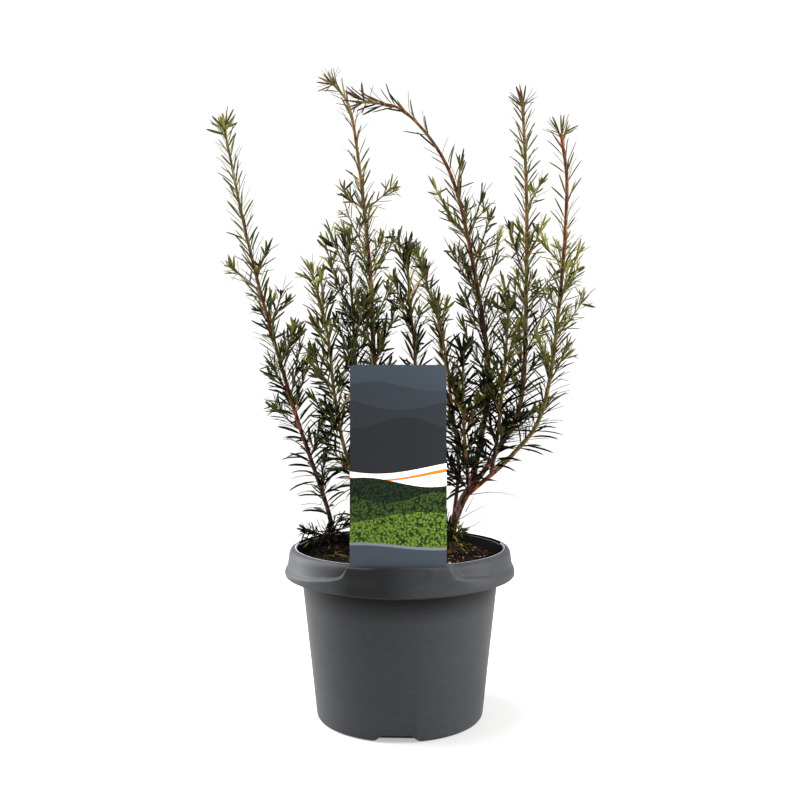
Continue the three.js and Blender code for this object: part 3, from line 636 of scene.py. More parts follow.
# %% Ink layers of the label
INK_LAYERS = [
    {"level": 0.90, "height": 0.022, "waves": 5.0, "phase": 0.4, "colour": "#2b3036"},
    {"level": 0.82, "height": 0.030, "waves": 4.0, "phase": 2.6, "colour": "#24282c"},
    {"level": 0.73, "height": 0.026, "waves": 6.0, "phase": 4.4, "colour": "#1e2023"},
    {"level": 0.525, "height": 0.030, "waves": 3.0, "phase": 3.9, "colour": "#eef0ee"},
    {"level": 0.500, "height": 0.032, "waves": 3.0, "phase": 3.9, "colour": "#d2701c"},
    {"level": 0.486, "height": 0.026, "waves": 3.0, "phase": 3.9, "colour": "#eef0ee"},
    {"level": 0.455, "height": 0.022, "waves": 4.5, "phase": 0.9, "colour": "#1c2e18", "leafy": True},
    {"level": 0.385, "height": 0.026, "waves": 5.5, "phase": 2.7, "colour": "#3a511d", "leafy": True},
    {"level": 0.290, "height": 0.028, "waves": 3.6, "phase": 5.2, "colour": "#64812b", "leafy": True},
    {"level": 0.165, "height": 0.012, "waves": 4.0, "phase": 1.0, "colour": "#66696c"},
    {"level": 0.152, "height": 0.012, "waves": 4.0, "phase": 1.0, "colour": "#333a42"},
]
LEAF_MM = 1.6
LEAF_STOPS = [(0.1, "#ffffff"), (0.75, "#3c4a2c")]

print_ink, tree, surface = new_material("printed_pvc_card", Roughness=0.42, IOR=1.52, Specular_IOR_Level=0.12)
card_place = add(tree, "TexCoord").outputs["UV"]
card_axes = add(tree, "SeparateXYZ", {"Vector": card_place}).outputs
leaf_scale = (LABEL["top"] - LABEL["foot"]) / LEAF_MM
leaf_map = add(tree, "Mapping", {"Vector": card_place, "Scale": (LABEL["width"] / LEAF_MM, leaf_scale, 1.0)})
leaves = add(tree, "TexVoronoi", {"Vector": leaf_map.outputs["Vector"], "Scale": 1.0}, feature="F1")
haze = add(tree, "ValToRGB", {"Fac": card_axes["Y"]}, [(0.75, "#2d3338"), (1.0, "#343c43")])
ink = haze.outputs["Color"]


def cover(ink, layer):
    """Lays one ink over all that is below the layer's wavy line."""
    turn = {0: card_axes["X"], 1: layer["waves"], 2: layer["phase"]}
    swing = add(tree, "Math", turn, operation="MULTIPLY_ADD").outputs[0]
    wave = add(tree, "Math", {0: swing}, operation="SINE").outputs[0]
    lift = {0: wave, 1: layer["height"], 2: layer["level"]}
    line = add(tree, "Math", lift, operation="MULTIPLY_ADD").outputs[0]
    below = add(tree, "Math", {0: card_axes["Y"], 1: line}, operation="LESS_THAN").outputs[0]
    colour = linear(layer["colour"])
    if layer.get("leafy"):
        shade = add(tree, "ValToRGB", {"Fac": leaves.outputs["Distance"]}, LEAF_STOPS).outputs["Color"]
        colour = add(tree, "Mix", {FACTOR: 1.0, UNDER: shade, OVER: colour}, **TINTED).outputs[MIXED]
    return add(tree, "Mix", {FACTOR: below, UNDER: ink, OVER: colour}, **LAID).outputs[MIXED]


for layer in INK_LAYERS:
    ink = cover(ink, layer)
tree.links.new(ink, surface.inputs["Base Color"])
plain_card = new_material("white_pvc_card", Base_Color=linear("#c9cbca"), IOR=1.52, Roughness=0.4)[0]
print("ink layers:", len(INK_LAYERS))

# %% [markdown]
# The print needs a place on the card for each corner of the mesh: a UV map, which runs from 0 to 1
# across the card and from 0 to 1 up it.  The front takes the inks, and the back and the edge stay white.

# %% The label
FRONT_FACING = -0.7

label = card("plant_label", 0.0, LABEL["top"], columns=48, rows=70)
mapping = label.data.uv_layers.new(name="card")
corners = np.empty(len(label.data.loops), int)
label.data.loops.foreach_get("vertex_index", corners)
spots = np.empty(len(label.data.vertices) * 3)
label.data.vertices.foreach_get("co", spots)
spots = spots.reshape(-1, 3)[corners] / MM
across = (spots[:, 0] - LABEL["middle"]) / LABEL["width"] + 0.5
up = (spots[:, 2] - LABEL["foot"]) / (LABEL["top"] - LABEL["foot"])
mapping.data.foreach_set("uv", np.column_stack([across, up]).ravel())
dress(label, [print_ink, plain_card])
for face in label.data.polygons:
    face.material_index = 0 if face.normal.y < FRONT_FACING else 1
settle(label, "label_card", "label")

# %% [markdown]
# Potting soil is mostly peat: nearly black where it is damp, with brown crumbs, chips of bark, pale
# fibres and a few yellowed needles that have dropped.  The surface is a round grid that is raised and
# lowered by noise of three sizes: clods, lumps and grains.

# %% The body of the soil
SOIL_TOP = 131.0
SOIL_EDGE_DROP = 1.4
SOIL_FLAT_RADIUS = 66.0
SOIL_COLUMNS, SOIL_RINGS = 200, 70
GAP = 0.3


def soil_height(x, y):
    """Height of the soil's surface, with clods and grains."""
    out = math.hypot(x, y)
    edge = float(inner_radius(SOIL_TOP - SOIL_EDGE_DROP)) - GAP
    drop = SOIL_EDGE_DROP * float(smooth((out - SOIL_FLAT_RADIUS) / (edge - SOIL_FLAT_RADIUS)))
    clods = 0.8 * noise.noise(Vector((x / 13, y / 13, 1)))
    lumps = 0.45 * noise.noise(Vector((x / 4, y / 4, 7)))
    return SOIL_TOP - drop + (clods + lumps) + 0.2 * noise.noise(Vector((x / 1.5, y / 1.5, 3)))


def soil_body():
    edge_height = SOIL_TOP - SOIL_EDGE_DROP
    floor = POT_FLOOR + GAP
    low = [(0, floor), (float(inner_radius(floor)) - GAP, floor),
           (float(inner_radius(WALL_TOP["height"])) - GAP, WALL_TOP["height"])]
    radii = [radius for radius, _ in low]
    radii += list(np.linspace(float(inner_radius(edge_height)) - GAP, 0, SOIL_RINGS))
    turn = np.arange(SOIL_COLUMNS) * 2 * math.pi / SOIL_COLUMNS
    rows = []
    for k, radius in enumerate(radii):
        x, y = radius * np.cos(turn), radius * np.sin(turn)
        z = [low[k][1]] * SOIL_COLUMNS if k < len(low) else [soil_height(a, b) for a, b in zip(x, y)]
        rows.append(np.column_stack([x, y, z]))
    piece = build("potting_mix", np.concatenate(rows), grid_faces(len(radii), SOIL_COLUMNS, True))
    close(piece)
    return piece


soil = soil_body()
for azimuth in NOTCH_AZIMUTHS:
    combine(soil, notch_block(azimuth, NOTCH["margin"] + GAP), "DIFFERENCE")
print("faces of the soil:", len(soil.data.polygons))

# %% [markdown]
# What the soil is mixed from comes in five tints, from black peat to pale grit.  All are dull, and each
# is mottled by noise of the size of a crumb.  Painted shade makes everything on the left of the pot
# darker, where the plant's shadow falls.

# %% Materials of the soil
CRUMB_MM = 1.2
# Painted shade: the soil, crumbs included, darkens towards the left of the pot.
LEFT_SHADE = {"across": (-62.0, 15.0), "stops": [(0.0, "#787878"), (1.0, "#ffffff")]}


def soil_material(name, dark, light):
    """Dull, mottled soil, with painted shade that darkens it towards the left."""
    made, tree, surface = new_material(name, Roughness=0.95, IOR=1.4, Specular_IOR_Level=0.05)
    mottle = {"Scale": 1 / (CRUMB_MM * MM), "Detail": 6.0, "Roughness": 0.7}
    grain = add(tree, "TexNoise", mottle).outputs["Fac"]
    colour = add(tree, "ValToRGB", {"Fac": grain}, [(0.35, dark), (0.7, light)]).outputs["Color"]
    axes = add(tree, "SeparateXYZ", {"Vector": add(tree, "TexCoord").outputs["Object"]})
    left_shade = ramp_by_place(tree, axes.outputs["X"], LEFT_SHADE["across"], LEFT_SHADE["stops"])
    colour = add(tree, "Mix", {FACTOR: 1.0, UNDER: colour, OVER: left_shade}, **TINTED).outputs[MIXED]
    tree.links.new(colour, surface.inputs["Base Color"])
    relief(tree, surface, grain, 0.7, 0.3)
    return made


SOILS = [
    soil_material("damp_peat", "#050403", "#140d09"),
    soil_material("brown_crumb", "#140b08", "#362419"),
    soil_material("bark_chip", "#2e1a13", "#5e3d2c"),
    soil_material("tan_fibre", "#6a4c38", "#a3805e"),
    soil_material("pale_grit", "#6b6359", "#a39a8c"),
]
dress(soil, SOILS[:1])
settle(soil, "potting_soil", "soil")

# %% [markdown]
# The crumbs are small faceted lumps.  Each is a ball of a few faces, stretched, roughened and turned at
# random, strewn over the soil and sunk in by a part of its height.  Their sizes follow a log-normal
# spread, as sieved soil does: many small ones and a few large.

# %% Crumbs and chips
CRUMB_COUNT = 4400
CRUMB_SHARES = (0.38, 0.28, 0.22, 0.085, 0.035)
CRUMB_SIZES = {"middle": -0.6, "spread": 0.4, "least": 0.35, "most": 1.8}
CRUMB_SHAPE = {"least": 0.55, "spread": 0.6, "flatness": 0.7, "roughness": 0.3}
CRUMB_CIRCLE = 81.0
CRUMB_RISE = 0.15

lump = bmesh.new()
bmesh.ops.create_icosphere(lump, subdivisions=1, radius=1.0)
lump_points = np.array([vert.co[:] for vert in lump.verts])
lump_faces = np.array([[vert.index for vert in face.verts] for face in lump.faces])
lump.free()


def strew(count, dice, limit):
    """Random places on the soil, as many to each patch of it."""
    turn, out = 2 * math.pi * dice.random(count), limit * np.sqrt(dice.random(count))
    x, y = out * np.cos(turn), out * np.sin(turn)
    return np.column_stack([x, y, [soil_height(a, b) for a, b in zip(x, y)]])


def crumbs():
    dice = np.random.default_rng(5)
    spots = strew(CRUMB_COUNT, dice, CRUMB_CIRCLE)
    sizes = dice.lognormal(CRUMB_SIZES["middle"], CRUMB_SIZES["spread"], CRUMB_COUNT)
    sizes = np.clip(sizes, CRUMB_SIZES["least"], CRUMB_SIZES["most"])
    stretched = CRUMB_SHAPE["least"] + CRUMB_SHAPE["spread"] * dice.random((CRUMB_COUNT, 3))
    shapes = sizes[:, None] * stretched
    shapes[:, 2] *= CRUMB_SHAPE["flatness"]
    spin = 2 * math.pi * dice.random(CRUMB_COUNT)
    rough = 1 + CRUMB_SHAPE["roughness"] * (dice.random((CRUMB_COUNT, len(lump_points))) - 0.5)
    lumps = lump_points[None] * rough[..., None] * shapes[:, None]
    c, s = np.cos(spin)[:, None], np.sin(spin)[:, None]
    x, y, z = lumps[..., 0], lumps[..., 1], lumps[..., 2]
    points = np.stack([c * x - s * y, s * x + c * y, z], -1) + spots[:, None] + [0, 0, CRUMB_RISE]
    faces = lump_faces[None] + np.arange(CRUMB_COUNT)[:, None, None] * len(lump_points)
    tints = dice.choice(len(SOILS), CRUMB_COUNT, p=CRUMB_SHARES)
    return build("soil_crumbs", points, [], faces, SOILS, np.repeat(tints, len(lump_faces)), crisp=20)


settle(crumbs(), "potting_soil", "soil")

# %% [markdown]
# The stems are curves through a few points, read from the photo and given depth so that the crown is
# full all round.  These are the same curves as the solids follow, with the same side shoots.  Each
# entry gives the points from foot to tip, the radius at both ends, the share of the length that is
# bare wood, and the side shoots that stand out, as the share where each one springs and its reach.
# fill asks for more shoots by a seeded rule: how many, from which share to which, and how long.
#
# The rest is for the eye alone.  As shares of the length, green and dark are the stretches where the
# bark is still olive or already dark, thin_out is a stretch that keeps only a part of its needles, and
# bronze is how much of the tip is bronze.  lift makes a whole stem's needles lighter, as if they stood
# so many mm higher in the light, and shade makes them darker by so many tints.  twiggy is how many fine
# twigs it bears for each one that an ordinary stem of its length has, and short and slim are how long
# and wide its needles are beside those of the others.  hanging are twiglets that droop at the foot,
# and stalks are thin dry ones that have lost their needles.

# %% The stems
STEMS = {
    "trunk_right": {
        "points": [(41, 15, 131), (45, 12, 155), (52, 10, 174), (60, 8, 188)],
        "radius": (3.9, 3.3), "flare": 3.0, "bare": 1.0, "dark": (0, 1),
    },
    "trunk_middle": {
        "points": [(-4, 12, 131), (-6, 11, 150), (-7, 9, 170)],
        "radius": (4.2, 3.5), "flare": 3.2, "bare": 1.0, "dark": (0, 1),
    },
    "left": {
        "points": [(-57, 30, 131), (-62, 28, 165), (-87, 20, 243), (-110, 13, 325), (-129, 12, 400),
                   (-148, 18, 490)],
        "radius": (2.0, 1.0), "flare": 2.6, "bare": 0.07, "seed": 11,
        "shoots": [
            (0.15, (4, -12, 24)), (0.29, (-23, 12, 22)), (0.35, (13, 12, 41)), (0.37, (10, -16, 45)),
            (0.45, (9, 14, 28)), (0.54, (13, -14, 28)), (0.62, (-25, 10, 22)), (0.66, (11, -12, 17)),
        ],
        "fill": (5, 0.12, 0.62, 34),
        "green": (0.72, 1.0), "dark": (0, 0.24), "spurs": (0.3, 0.66),
    },
    "tall": {
        "points": [(-6, 10, 161), (-18, 28, 235), (-23, 42, 305), (-27, 58, 380), (-38, 79, 480),
                   (-47, 88, 528), (-63, 96, 552)],
        "radius": (2.5, 1.2), "bare": 0.22, "seed": 12,
        "shoots": [
            (0.33, (19, 12, 53)), (0.35, (11, 16, 26)), (0.42, (14, -16, 28)), (0.53, (20, 14, 30)),
            (0.57, (-21, 16, 23)), (0.58, (-19, -14, 35)), (0.68, (-19, 10, 18)), (0.68, (24, -10, 17)),
        ],
        "fill": (4, 0.26, 0.62, 36),
        "green": (0.92, 1.0), "dark": (0, 0.35), "thin_out": (0.76, 0.93, 0.55), "bronze": 0.3,
        "twiggy": 1.25,
    },
    "back": {
        "points": [(-7, 9, 170), (-28, 14, 235), (-37, 12, 290), (-40, 6, 345), (-44, 0, 388)],
        "radius": (2.0, 0.9), "bare": 0.24, "seed": 13,
        "shoots": [(0.68, (16, -10, 29)), (0.74, (-24, 12, 62))],
        "fill": (5, 0.3, 0.92, 36),
        "green": (0.6, 1.0), "dark": (0, 0.4), "twiggy": 2.2, "lift": -35,
    },
    "front_left": {
        "points": [(-6, 11, 152), (-40, -8, 205), (-52, -24, 262), (-57, -36, 313), (-68, -46, 360)],
        "radius": (1.9, 0.9), "bare": 0.2, "seed": 14,
        "shoots": [
            (0.27, (-25, 14, 29)), (0.43, (-21, -10, 28)), (0.56, (-19, 10, 37)), (0.74, (-11, -10, 21)),
        ],
        "fill": (5, 0.24, 0.9, 34),
        "green": (0.3, 1.0), "dark": (0, 0.2), "twiggy": 1.2,
    },
    "short": {
        "points": [(-6, 10, 158), (8, -20, 240), (12, -36, 292), (8, -48, 335), (5, -58, 376)],
        "radius": (2.0, 0.9), "bare": 0.3, "seed": 15,
        "shoots": [(0.72, (-10, -12, 22)), (0.83, (11, 10, 26)), (0.93, (-8, -10, 22))],
        "fill": (4, 0.36, 0.9, 30),
        "green": (0.85, 1.0), "dark": (0, 0.4), "twiggy": 0.6,
    },
    "thin": {
        "points": [(45, 12, 155), (50, 24, 205), (44, 38, 265), (36, 52, 321), (16, 72, 388)],
        "radius": (1.7, 0.85), "bare": 0.12, "seed": 16,
        "shoots": [(0.54, (-6, 12, 27)), (0.7, (-4, -12, 28)), (0.72, (6, 12, 20))],
        "fill": (4, 0.18, 0.86, 32),
        "green": (0.85, 1.0), "dark": (0, 0.4), "twiggy": 0.6,
    },
    "arching": {
        "points": [(60, 8, 188), (69, 6, 235), (74, 2, 277), (64, -8, 350), (41, -34, 437), (6, -58, 480),
                   (-27, -72, 486)],
        "radius": (2.6, 0.9), "bare": 0.13, "split": 0.63, "seed": 17,
        "shoots": [
            (0.26, (-21, 12, 44)), (0.37, (-16, 14, 31)), (0.44, (17, 14, 54)), (0.46, (-23, -14, 32)),
            (0.53, (12, -14, 32)), (0.59, (-26, 14, 42)), (0.69, (2, -12, 21)),
        ],
        "fill": (4, 0.17, 0.6, 34),
        "dark": (0, 0.52), "thin_out": (0.7, 0.92, 0.45), "bronze": 0.36, "lift": 40,
        "twiggy": 1.15, "slim": 0.88,
    },
    "upright": {
        "points": [(58, 8, 184), (82, 20, 215), (104, 30, 258), (110, 42, 340), (112, 56, 440),
                   (110, 70, 526)],
        "radius": (2.3, 1.3), "bare": 0.12, "seed": 18,
        "shoots": [
            (0.37, (17, -14, 44)), (0.45, (-18, 12, 32)), (0.49, (28, 14, 30)), (0.55, (-16, -14, 41)),
            (0.59, (-10, 14, 18)), (0.73, (14, 12, 24)),
        ],
        "fill": (4, 0.15, 0.62, 36),
        "green": (0.36, 0.5), "dark": (0, 0.33), "bronze": 0.35, "twiggy": 1.2,
    },
    "right": {
        "points": [(57, 8, 181), (93, -2, 215), (117, -8, 252), (128, -18, 330), (132, -32, 425),
                   (126, -40, 470)],
        "radius": (1.9, 1.3), "bare": 0.18, "seed": 19,
        "shoots": [
            (0.38, (12, -10, 27)), (0.41, (-11, -12, 22)), (0.5, (25, 12, 31)), (0.59, (12, -12, 37)),
            (0.68, (-13, 12, 18)),
        ],
        "fill": (4, 0.22, 0.7, 32),
        "green": (0.12, 0.5), "dark": (0.6, 0.7), "bronze": 0.4, "spurs": (0.36, 0.6),
        "thin_out": (0.68, 0.96, 0.56), "lift": 45, "slim": 0.78,
    },
    "front": {
        "points": [(58, 8, 184), (55, -8, 208), (52, -20, 235), (50, -30, 265), (50, -38, 300)],
        "radius": (1.7, 0.9), "bare": 0.0, "seed": 20,
        "shoots": [(0.44, (9, -8, 28)), (0.59, (-9, -8, 24))],
        "fill": (2, 0.2, 0.9, 28),
        "green": (0.3, 1.0), "dark": (0, 0.3), "lift": 90, "twiggy": 1.8,
    },
    "inner": {
        "points": [(76, 1, 200), (79, -8, 222), (82, -16, 255), (85, -25, 300), (86, -32, 335)],
        "radius": (1.7, 0.9), "bare": 0.0, "seed": 21,
        "shoots": [(0.4, (-10, -8, 28)), (0.66, (7, -8, 28))],
        "fill": (2, 0.15, 0.9, 28),
        "green": (0.4, 1.0), "dark": (0, 0.4), "lift": 30, "twiggy": 1.8,
    },
    "foot_left": {
        "points": [(-58, 30, 139), (-67, 25, 144), (-76, 16, 149)],
        "radius": (1.2, 0.7), "bare": 0.0, "seed": 22,
        "shoots": [(0.4, (6, -14, 8)), (0.45, (17, -16, 16)), (0.7, (-8, -12, 4))],
        "hanging": [(0.1, (14, -18, -1)), (0.2, (3, -22, -1)), (0.3, (-12, -16, -2)), (0.3, (19, -8, 12))],
        "dark": (0, 1), "shade": 0.9, "slim": 0.66,
    },
    "foot_right": {
        "points": [(43, 12, 144), (46, 5, 147), (50, -1, 152)],
        "radius": (1.2, 0.7), "bare": 0.0, "seed": 23, "shoots": [(0.4, (8, 2, 2))],
        "hanging": [(0.2, (5, -13, -4)), (0.4, (9, -8, -5)), (0.0, (-1, -12, 1)), (0.1, (-3, -9, 12)),
                    (0.1, (2, -9, 11)), (0.0, (-4, -9, 7)), (0.1, (-5, -7, 19))],
        "stalks": [[(60, 8, 181), (76, 0, 184), (89, -4, 183), (100, -8, 180)],
                   [(50, 8, 160), (62, 2, 168), (73, -4, 175)], [(51, 8, 152), (60, 2, 155), (69, -4, 162)],
                   [(55, 4, 167), (60, 2, 177), (64, 0, 185)]],
        "green": (0, 1), "lift": 225, "short": 0.85, "slim": 0.55,
    },
    "foot_back": {
        "points": [(-5, 11, 142), (-10, 26, 150), (-18, 38, 166)],
        "radius": (1.2, 0.7), "bare": 0.0, "seed": 24, "shoots": [(0.5, (10, 10, 12))],
        "green": (0.3, 1.0),
    },
}
print("stems:", len(STEMS))

# %% [markdown]
# A stem bends smoothly, so its middle line is a Catmull-Rom curve: a curve that passes through each
# point in the direction of its two neighbours.  A Bezier curve object would do as well, but plain
# arrays can be asked for a place and a direction at any share of the length.

# %% Curves along the stems
CURVE_STEPS = 400
SHOOT_SAG = 0.14
SHOOT_RADIUS = (1.0, 0.6)
FLARE_HEIGHT = 7.0
UP = np.array([0.0, 0.0, 1.0])


def unit(vectors):
    return vectors / np.linalg.norm(vectors, axis=-1, keepdims=True)


def stem_line(points):
    """Curve through the points, with its run of length at even steps of the curve's own measure."""
    knots = np.array(points, float)
    knots = np.vstack([2 * knots[0] - knots[1], knots, 2 * knots[-1] - knots[-2]])
    along = np.linspace(0, len(points) - 1, CURVE_STEPS + 1)
    k = np.minimum(along.astype(int), len(points) - 2)
    w = (along - k)[:, None]
    a, b, c, d = (knots[k + i] for i in range(4))
    start, end = (c - a) / 2, (d - b) / 2
    cubic, square = 2 * b - 2 * c + start + end, 3 * c - 3 * b - 2 * start - end
    places = cubic * w**3 + square * w**2 + start * w + b
    run = np.concatenate([[0], np.cumsum(np.linalg.norm(np.diff(places, axis=0), axis=1))])
    return {"places": places, "run": run, "length": run[-1]}


def shoot_line(base, reach):
    """A side shoot leaves its stem outwards and then bends up."""
    t = np.linspace(0, 1, 41)[:, None]
    middle = base + reach / 2 - SHOOT_SAG * np.linalg.norm(reach) * UP
    places = (1 - t) ** 2 * base + 2 * t * (1 - t) * middle + t**2 * (base + reach)
    length = np.linalg.norm(np.diff(places, axis=0), axis=1).sum()
    return {"places": places, "run": t[:, 0] * length, "length": length}


def place(line, share):
    at = np.asarray(share, float) * line["length"]
    return np.stack([np.interp(at, line["run"], line["places"][:, i]) for i in range(3)], -1)


def way(line, share):
    share = np.asarray(share, float)
    return unit(place(line, np.minimum(share + 0.004, 1)) - place(line, np.maximum(share - 0.004, 0)))


def square_to(tangents, reference):
    """Two directions square to each tangent: one square to the reference too, and the third axis."""
    across = unit(np.cross(tangents, reference) + [1e-9, 0, 0])
    return across, np.cross(across, tangents)


lines = {name: stem_line(stem["points"]) for name, stem in STEMS.items()}
print("length of all stems in mm:", round(sum(line["length"] for line in lines.values())))

# %% [markdown]
# The side shoots grow by the rule that the solids follow.  The shoots that stand out in the photo come
# first, then the seeded ones, each turned by the golden angle from the one before, as leaves are.  A
# shoot is kept only where it stays clear of the other stems and their shoots, of the soil, of the
# pot's rim and of the label.  A repeatable series of numbers makes the plant the same on each run.

# %% Side shoots
SHOOT_SPACING = 6.0
SHOOT_MARGIN = 3.0
GOLDEN_ANGLE = math.radians(137.5)
SIDEWAYS = 0.55


def seeded(seed):
    """A repeatable series of numbers between 0 and 1."""
    state = seed
    while True:
        state = state * 16807 % 2147483647
        yield state / 2147483647


def open_air(points, margin):
    """Whether each point is clear of the soil, the rim and the label by a margin."""
    x, y, z = np.moveaxis(np.asarray(points, float), -1, 0)
    over_soil = z > SOIL_TOP + margin
    clear_of_rim = (z > POT_HEIGHT + margin) | (np.hypot(x, y) < inner_radius(z) - margin)
    beside_label = (
        (z > LABEL["top"] + margin)
        | (np.abs(x - LABEL["middle"]) > LABEL["width"] / 2 + margin)
        | (y > label_front(x, z) + LABEL["thickness"] + margin)
    )
    return over_soil & clear_of_rim & beside_label


def samples(line, step):
    count = max(2, round(line["length"] / step))
    return place(line, np.arange(count + 1) / count)


def too_near(points, others, distance):
    return np.linalg.norm(points[:, None] - others[None], axis=-1).min() < distance


def grow_shoots():
    """Every side shoot that is kept, as the stem it is on, the share where it springs and its line."""
    stem_points = {name: samples(line, 5) for name, line in lines.items()}
    kept = []

    def offer(name, share, reach):
        line = shoot_line(place(lines[name], share), np.array(reach, float))
        points = samples(line, 6)
        others = [places for other, places in stem_points.items() if other != name]
        others += [shoot["points"] for shoot in kept if shoot["stem"] != name]
        clear = not any(too_near(points, places, SHOOT_SPACING) for places in others)
        if clear and open_air(points, SHOOT_MARGIN).all():
            kept.append({"stem": name, "kind": "shoot", "share": share, "line": line, "points": points})

    for name, stem in STEMS.items():
        for share, reach in stem.get("shoots", []):
            offer(name, share, reach)
    for name, stem in STEMS.items():
        if "fill" not in stem:
            continue
        count, first, last, reach = stem["fill"]
        random = seeded(stem["seed"])
        for k in range(count):
            share = first + (last - first) * (k + next(random)) / count
            turn = k * GOLDEN_ANGLE + stem["seed"]
            rise = 0.8 + 0.5 * next(random)
            length = reach * (0.75 + 0.5 * next(random))
            direction = unit(np.array([SIDEWAYS * math.cos(turn), math.sin(turn), rise]))
            offer(name, share, direction * length)
    return kept


shoots = grow_shoots()
print("side shoots:", len(shoots))

# %% [markdown]
# Finer growth goes on from there.  A long side shoot bears twiglets, by turns to the left and the
# right, and the older part of a leader bears short spurs between its shoots.  Both get shorter towards
# the tip, so they stay within the crown that the solids outline.

# %% Twiglets and spurs
TWIGLET_SPACING = 31.0
TWIGLET_LENGTH = (9.0, 18.0)
TWIGLET_SPREAD = 0.7
TWIGLET_STRETCH = {"first": 0.22, "reach": 0.55}
TWIGLET_TURN = 0.15
SPUR_SPACING = 17.0
SPUR_LENGTH = (9.0, 22.0)
SPUR_SPREAD = 0.65
SPUR_STRETCH = (0.03, 0.66)


def node_of(name, share):
    """The solid that holds a stem at a share of its length."""
    stem = STEMS[name]
    if share < stem["bare"]:
        if name.startswith("trunk"):
            return name
        return ("stem_" if "flare" in stem else "bough_") + name
    node = ("sprig_" if name.startswith("foot") else "needles_") + name
    return node + "_tip" if share > stem.get("split", 2) else node


def side_twig(line, share, turn, spread, length):
    """A twig that springs from a line at an angle, turned round it from its upper side."""
    tangent = way(line, share)
    side, upper = square_to(tangent, UP)
    outward = math.cos(turn) * side + math.sin(turn) * upper
    direction = math.cos(spread) * tangent + math.sin(spread) * outward
    return shoot_line(place(line, share), direction * length)


def grow_fine_twigs():
    fine = []
    dice = np.random.default_rng(41)
    for shoot in shoots:
        twiggy = STEMS[shoot["stem"]].get("twiggy", 1.0)
        count = int(twiggy * shoot["line"]["length"] / TWIGLET_SPACING)
        for k in range(count):
            share = TWIGLET_STRETCH["first"] + TWIGLET_STRETCH["reach"] * (k + dice.random()) / count
            turn = (TWIGLET_TURN if k % 2 else math.pi - TWIGLET_TURN) + 0.5 * (dice.random() - 0.5)
            length = np.interp(share, [0, 1], TWIGLET_LENGTH[::-1]) * (0.7 + 0.5 * dice.random())
            line = side_twig(shoot["line"], share, turn, TWIGLET_SPREAD, length)
            fine.append({"stem": shoot["stem"], "share": shoot["share"], "line": line, "kind": "twiglet"})
    for name, stem in STEMS.items():
        for share, reach in stem.get("hanging", []):
            line = shoot_line(place(lines[name], share), np.array(reach, float))
            fine.append({"stem": name, "share": share, "line": line, "kind": "twiglet"})
        if "fill" not in stem:
            continue
        line = lines[name]
        first, last = stem.get("spurs", (stem["bare"] + SPUR_STRETCH[0], SPUR_STRETCH[1]))
        count = int(stem.get("twiggy", 1.0) * (last - first) * line["length"] / SPUR_SPACING)
        for k in range(count):
            share = first + (last - first) * ((k + dice.random()) / count) ** 1.3
            length = np.interp(share, [0, 0.8], SPUR_LENGTH[::-1]) * (0.7 + 0.6 * dice.random())
            spur = side_twig(line, share, k * GOLDEN_ANGLE, SPUR_SPREAD, length)
            fine.append({"stem": name, "share": share, "line": spur, "kind": "spur"})
    return [twig for twig in fine if open_air(samples(twig["line"], 4), 2.0).all()]


fine_twigs = grow_fine_twigs()
print("twiglets and spurs:", len(fine_twigs))

# %% [markdown]
# Wood.  Yew bark is thin and flaky.  On the old wood it is brown and peels in small plates with tan
# patches under them.  A leader's bark is russet, with olive streaks where each needle's foot runs down
# the stem, and the youngest wood is green.  The bark is a mesh with its relief in it, so it shows also
# in a close view, and the colour under it comes from stretched noise.

# %% Materials of the wood
BARK_PLATE_MM = 3.0
BARK_GRAIN_MM = 0.5


def bark_material(name, stops, roughness, depth_mm):
    """Bark: colour by stretched noise from three stops, rough, with a fine grain along the stem."""
    made, tree, surface = new_material(name, Roughness=roughness, IOR=1.45, Specular_IOR_Level=0.12)
    place_on = add(tree, "TexCoord").outputs["Object"]
    stretched = add(tree, "Mapping", {"Vector": place_on, "Scale": (1.0, 1.0, 0.35)}).outputs["Vector"]
    coarse = {"Vector": stretched, "Scale": 1 / (BARK_PLATE_MM * MM), "Detail": 5.0, "Roughness": 0.65}
    fine = {"Vector": stretched, "Scale": 1 / (BARK_GRAIN_MM * MM), "Detail": 3.0}
    plates = add(tree, "TexNoise", coarse).outputs["Fac"]
    colour = add(tree, "ValToRGB", {"Fac": plates}, stops).outputs["Color"]
    tree.links.new(colour, surface.inputs["Base Color"])
    relief(tree, surface, add(tree, "TexNoise", fine).outputs["Fac"], 0.6, depth_mm)
    return made


BARKS = [
    bark_material("old_yew_bark", [(0.36, "#120b08"), (0.52, "#35231a"), (0.68, "#6b5040")], 0.85, 0.25),
    bark_material("russet_yew_bark", [(0.36, "#290f09"), (0.53, "#5c2d1b"), (0.7, "#935c38")], 0.7, 0.15),
    bark_material("olive_yew_bark", [(0.36, "#2d2e10"), (0.53, "#50481d"), (0.7, "#80683a")], 0.6, 0.1),
]
OLD, RUSSET, OLIVE = range(3)
print("bark materials:", len(BARKS))

# %% [markdown]
# Each limb is a tube of rings that narrow along the stem's curve.  Its foot flares into the soil, and
# its far end is rounded off inside whatever grows from it.  The relief is noise in the ring radii:
# coarse and deep on the old wood, fine ridges on the young.  The material of each face is dealt out
# by the stem's age at that place, with a little noise, so that streaks of olive run into the russet.

# %% Tubes with bark relief
RING_STEP = 1.6
TUBE_SIDES = {"limb": 18, "leader": 12, "shoot": 8, "twiglet": 6, "spur": 6, "stalk": 5}
TUBE_ROUGHNESS = {"limb": 0.1, "leader": 0.09, "twig": 0.06}
PLATE_MM, RIDGE_MM, STREAK_MM = (1.6, 1.6, 5.0), (0.9, 0.9, 9.0), (1.1, 1.1, 14.0)
STALK_RADIUS = 0.3


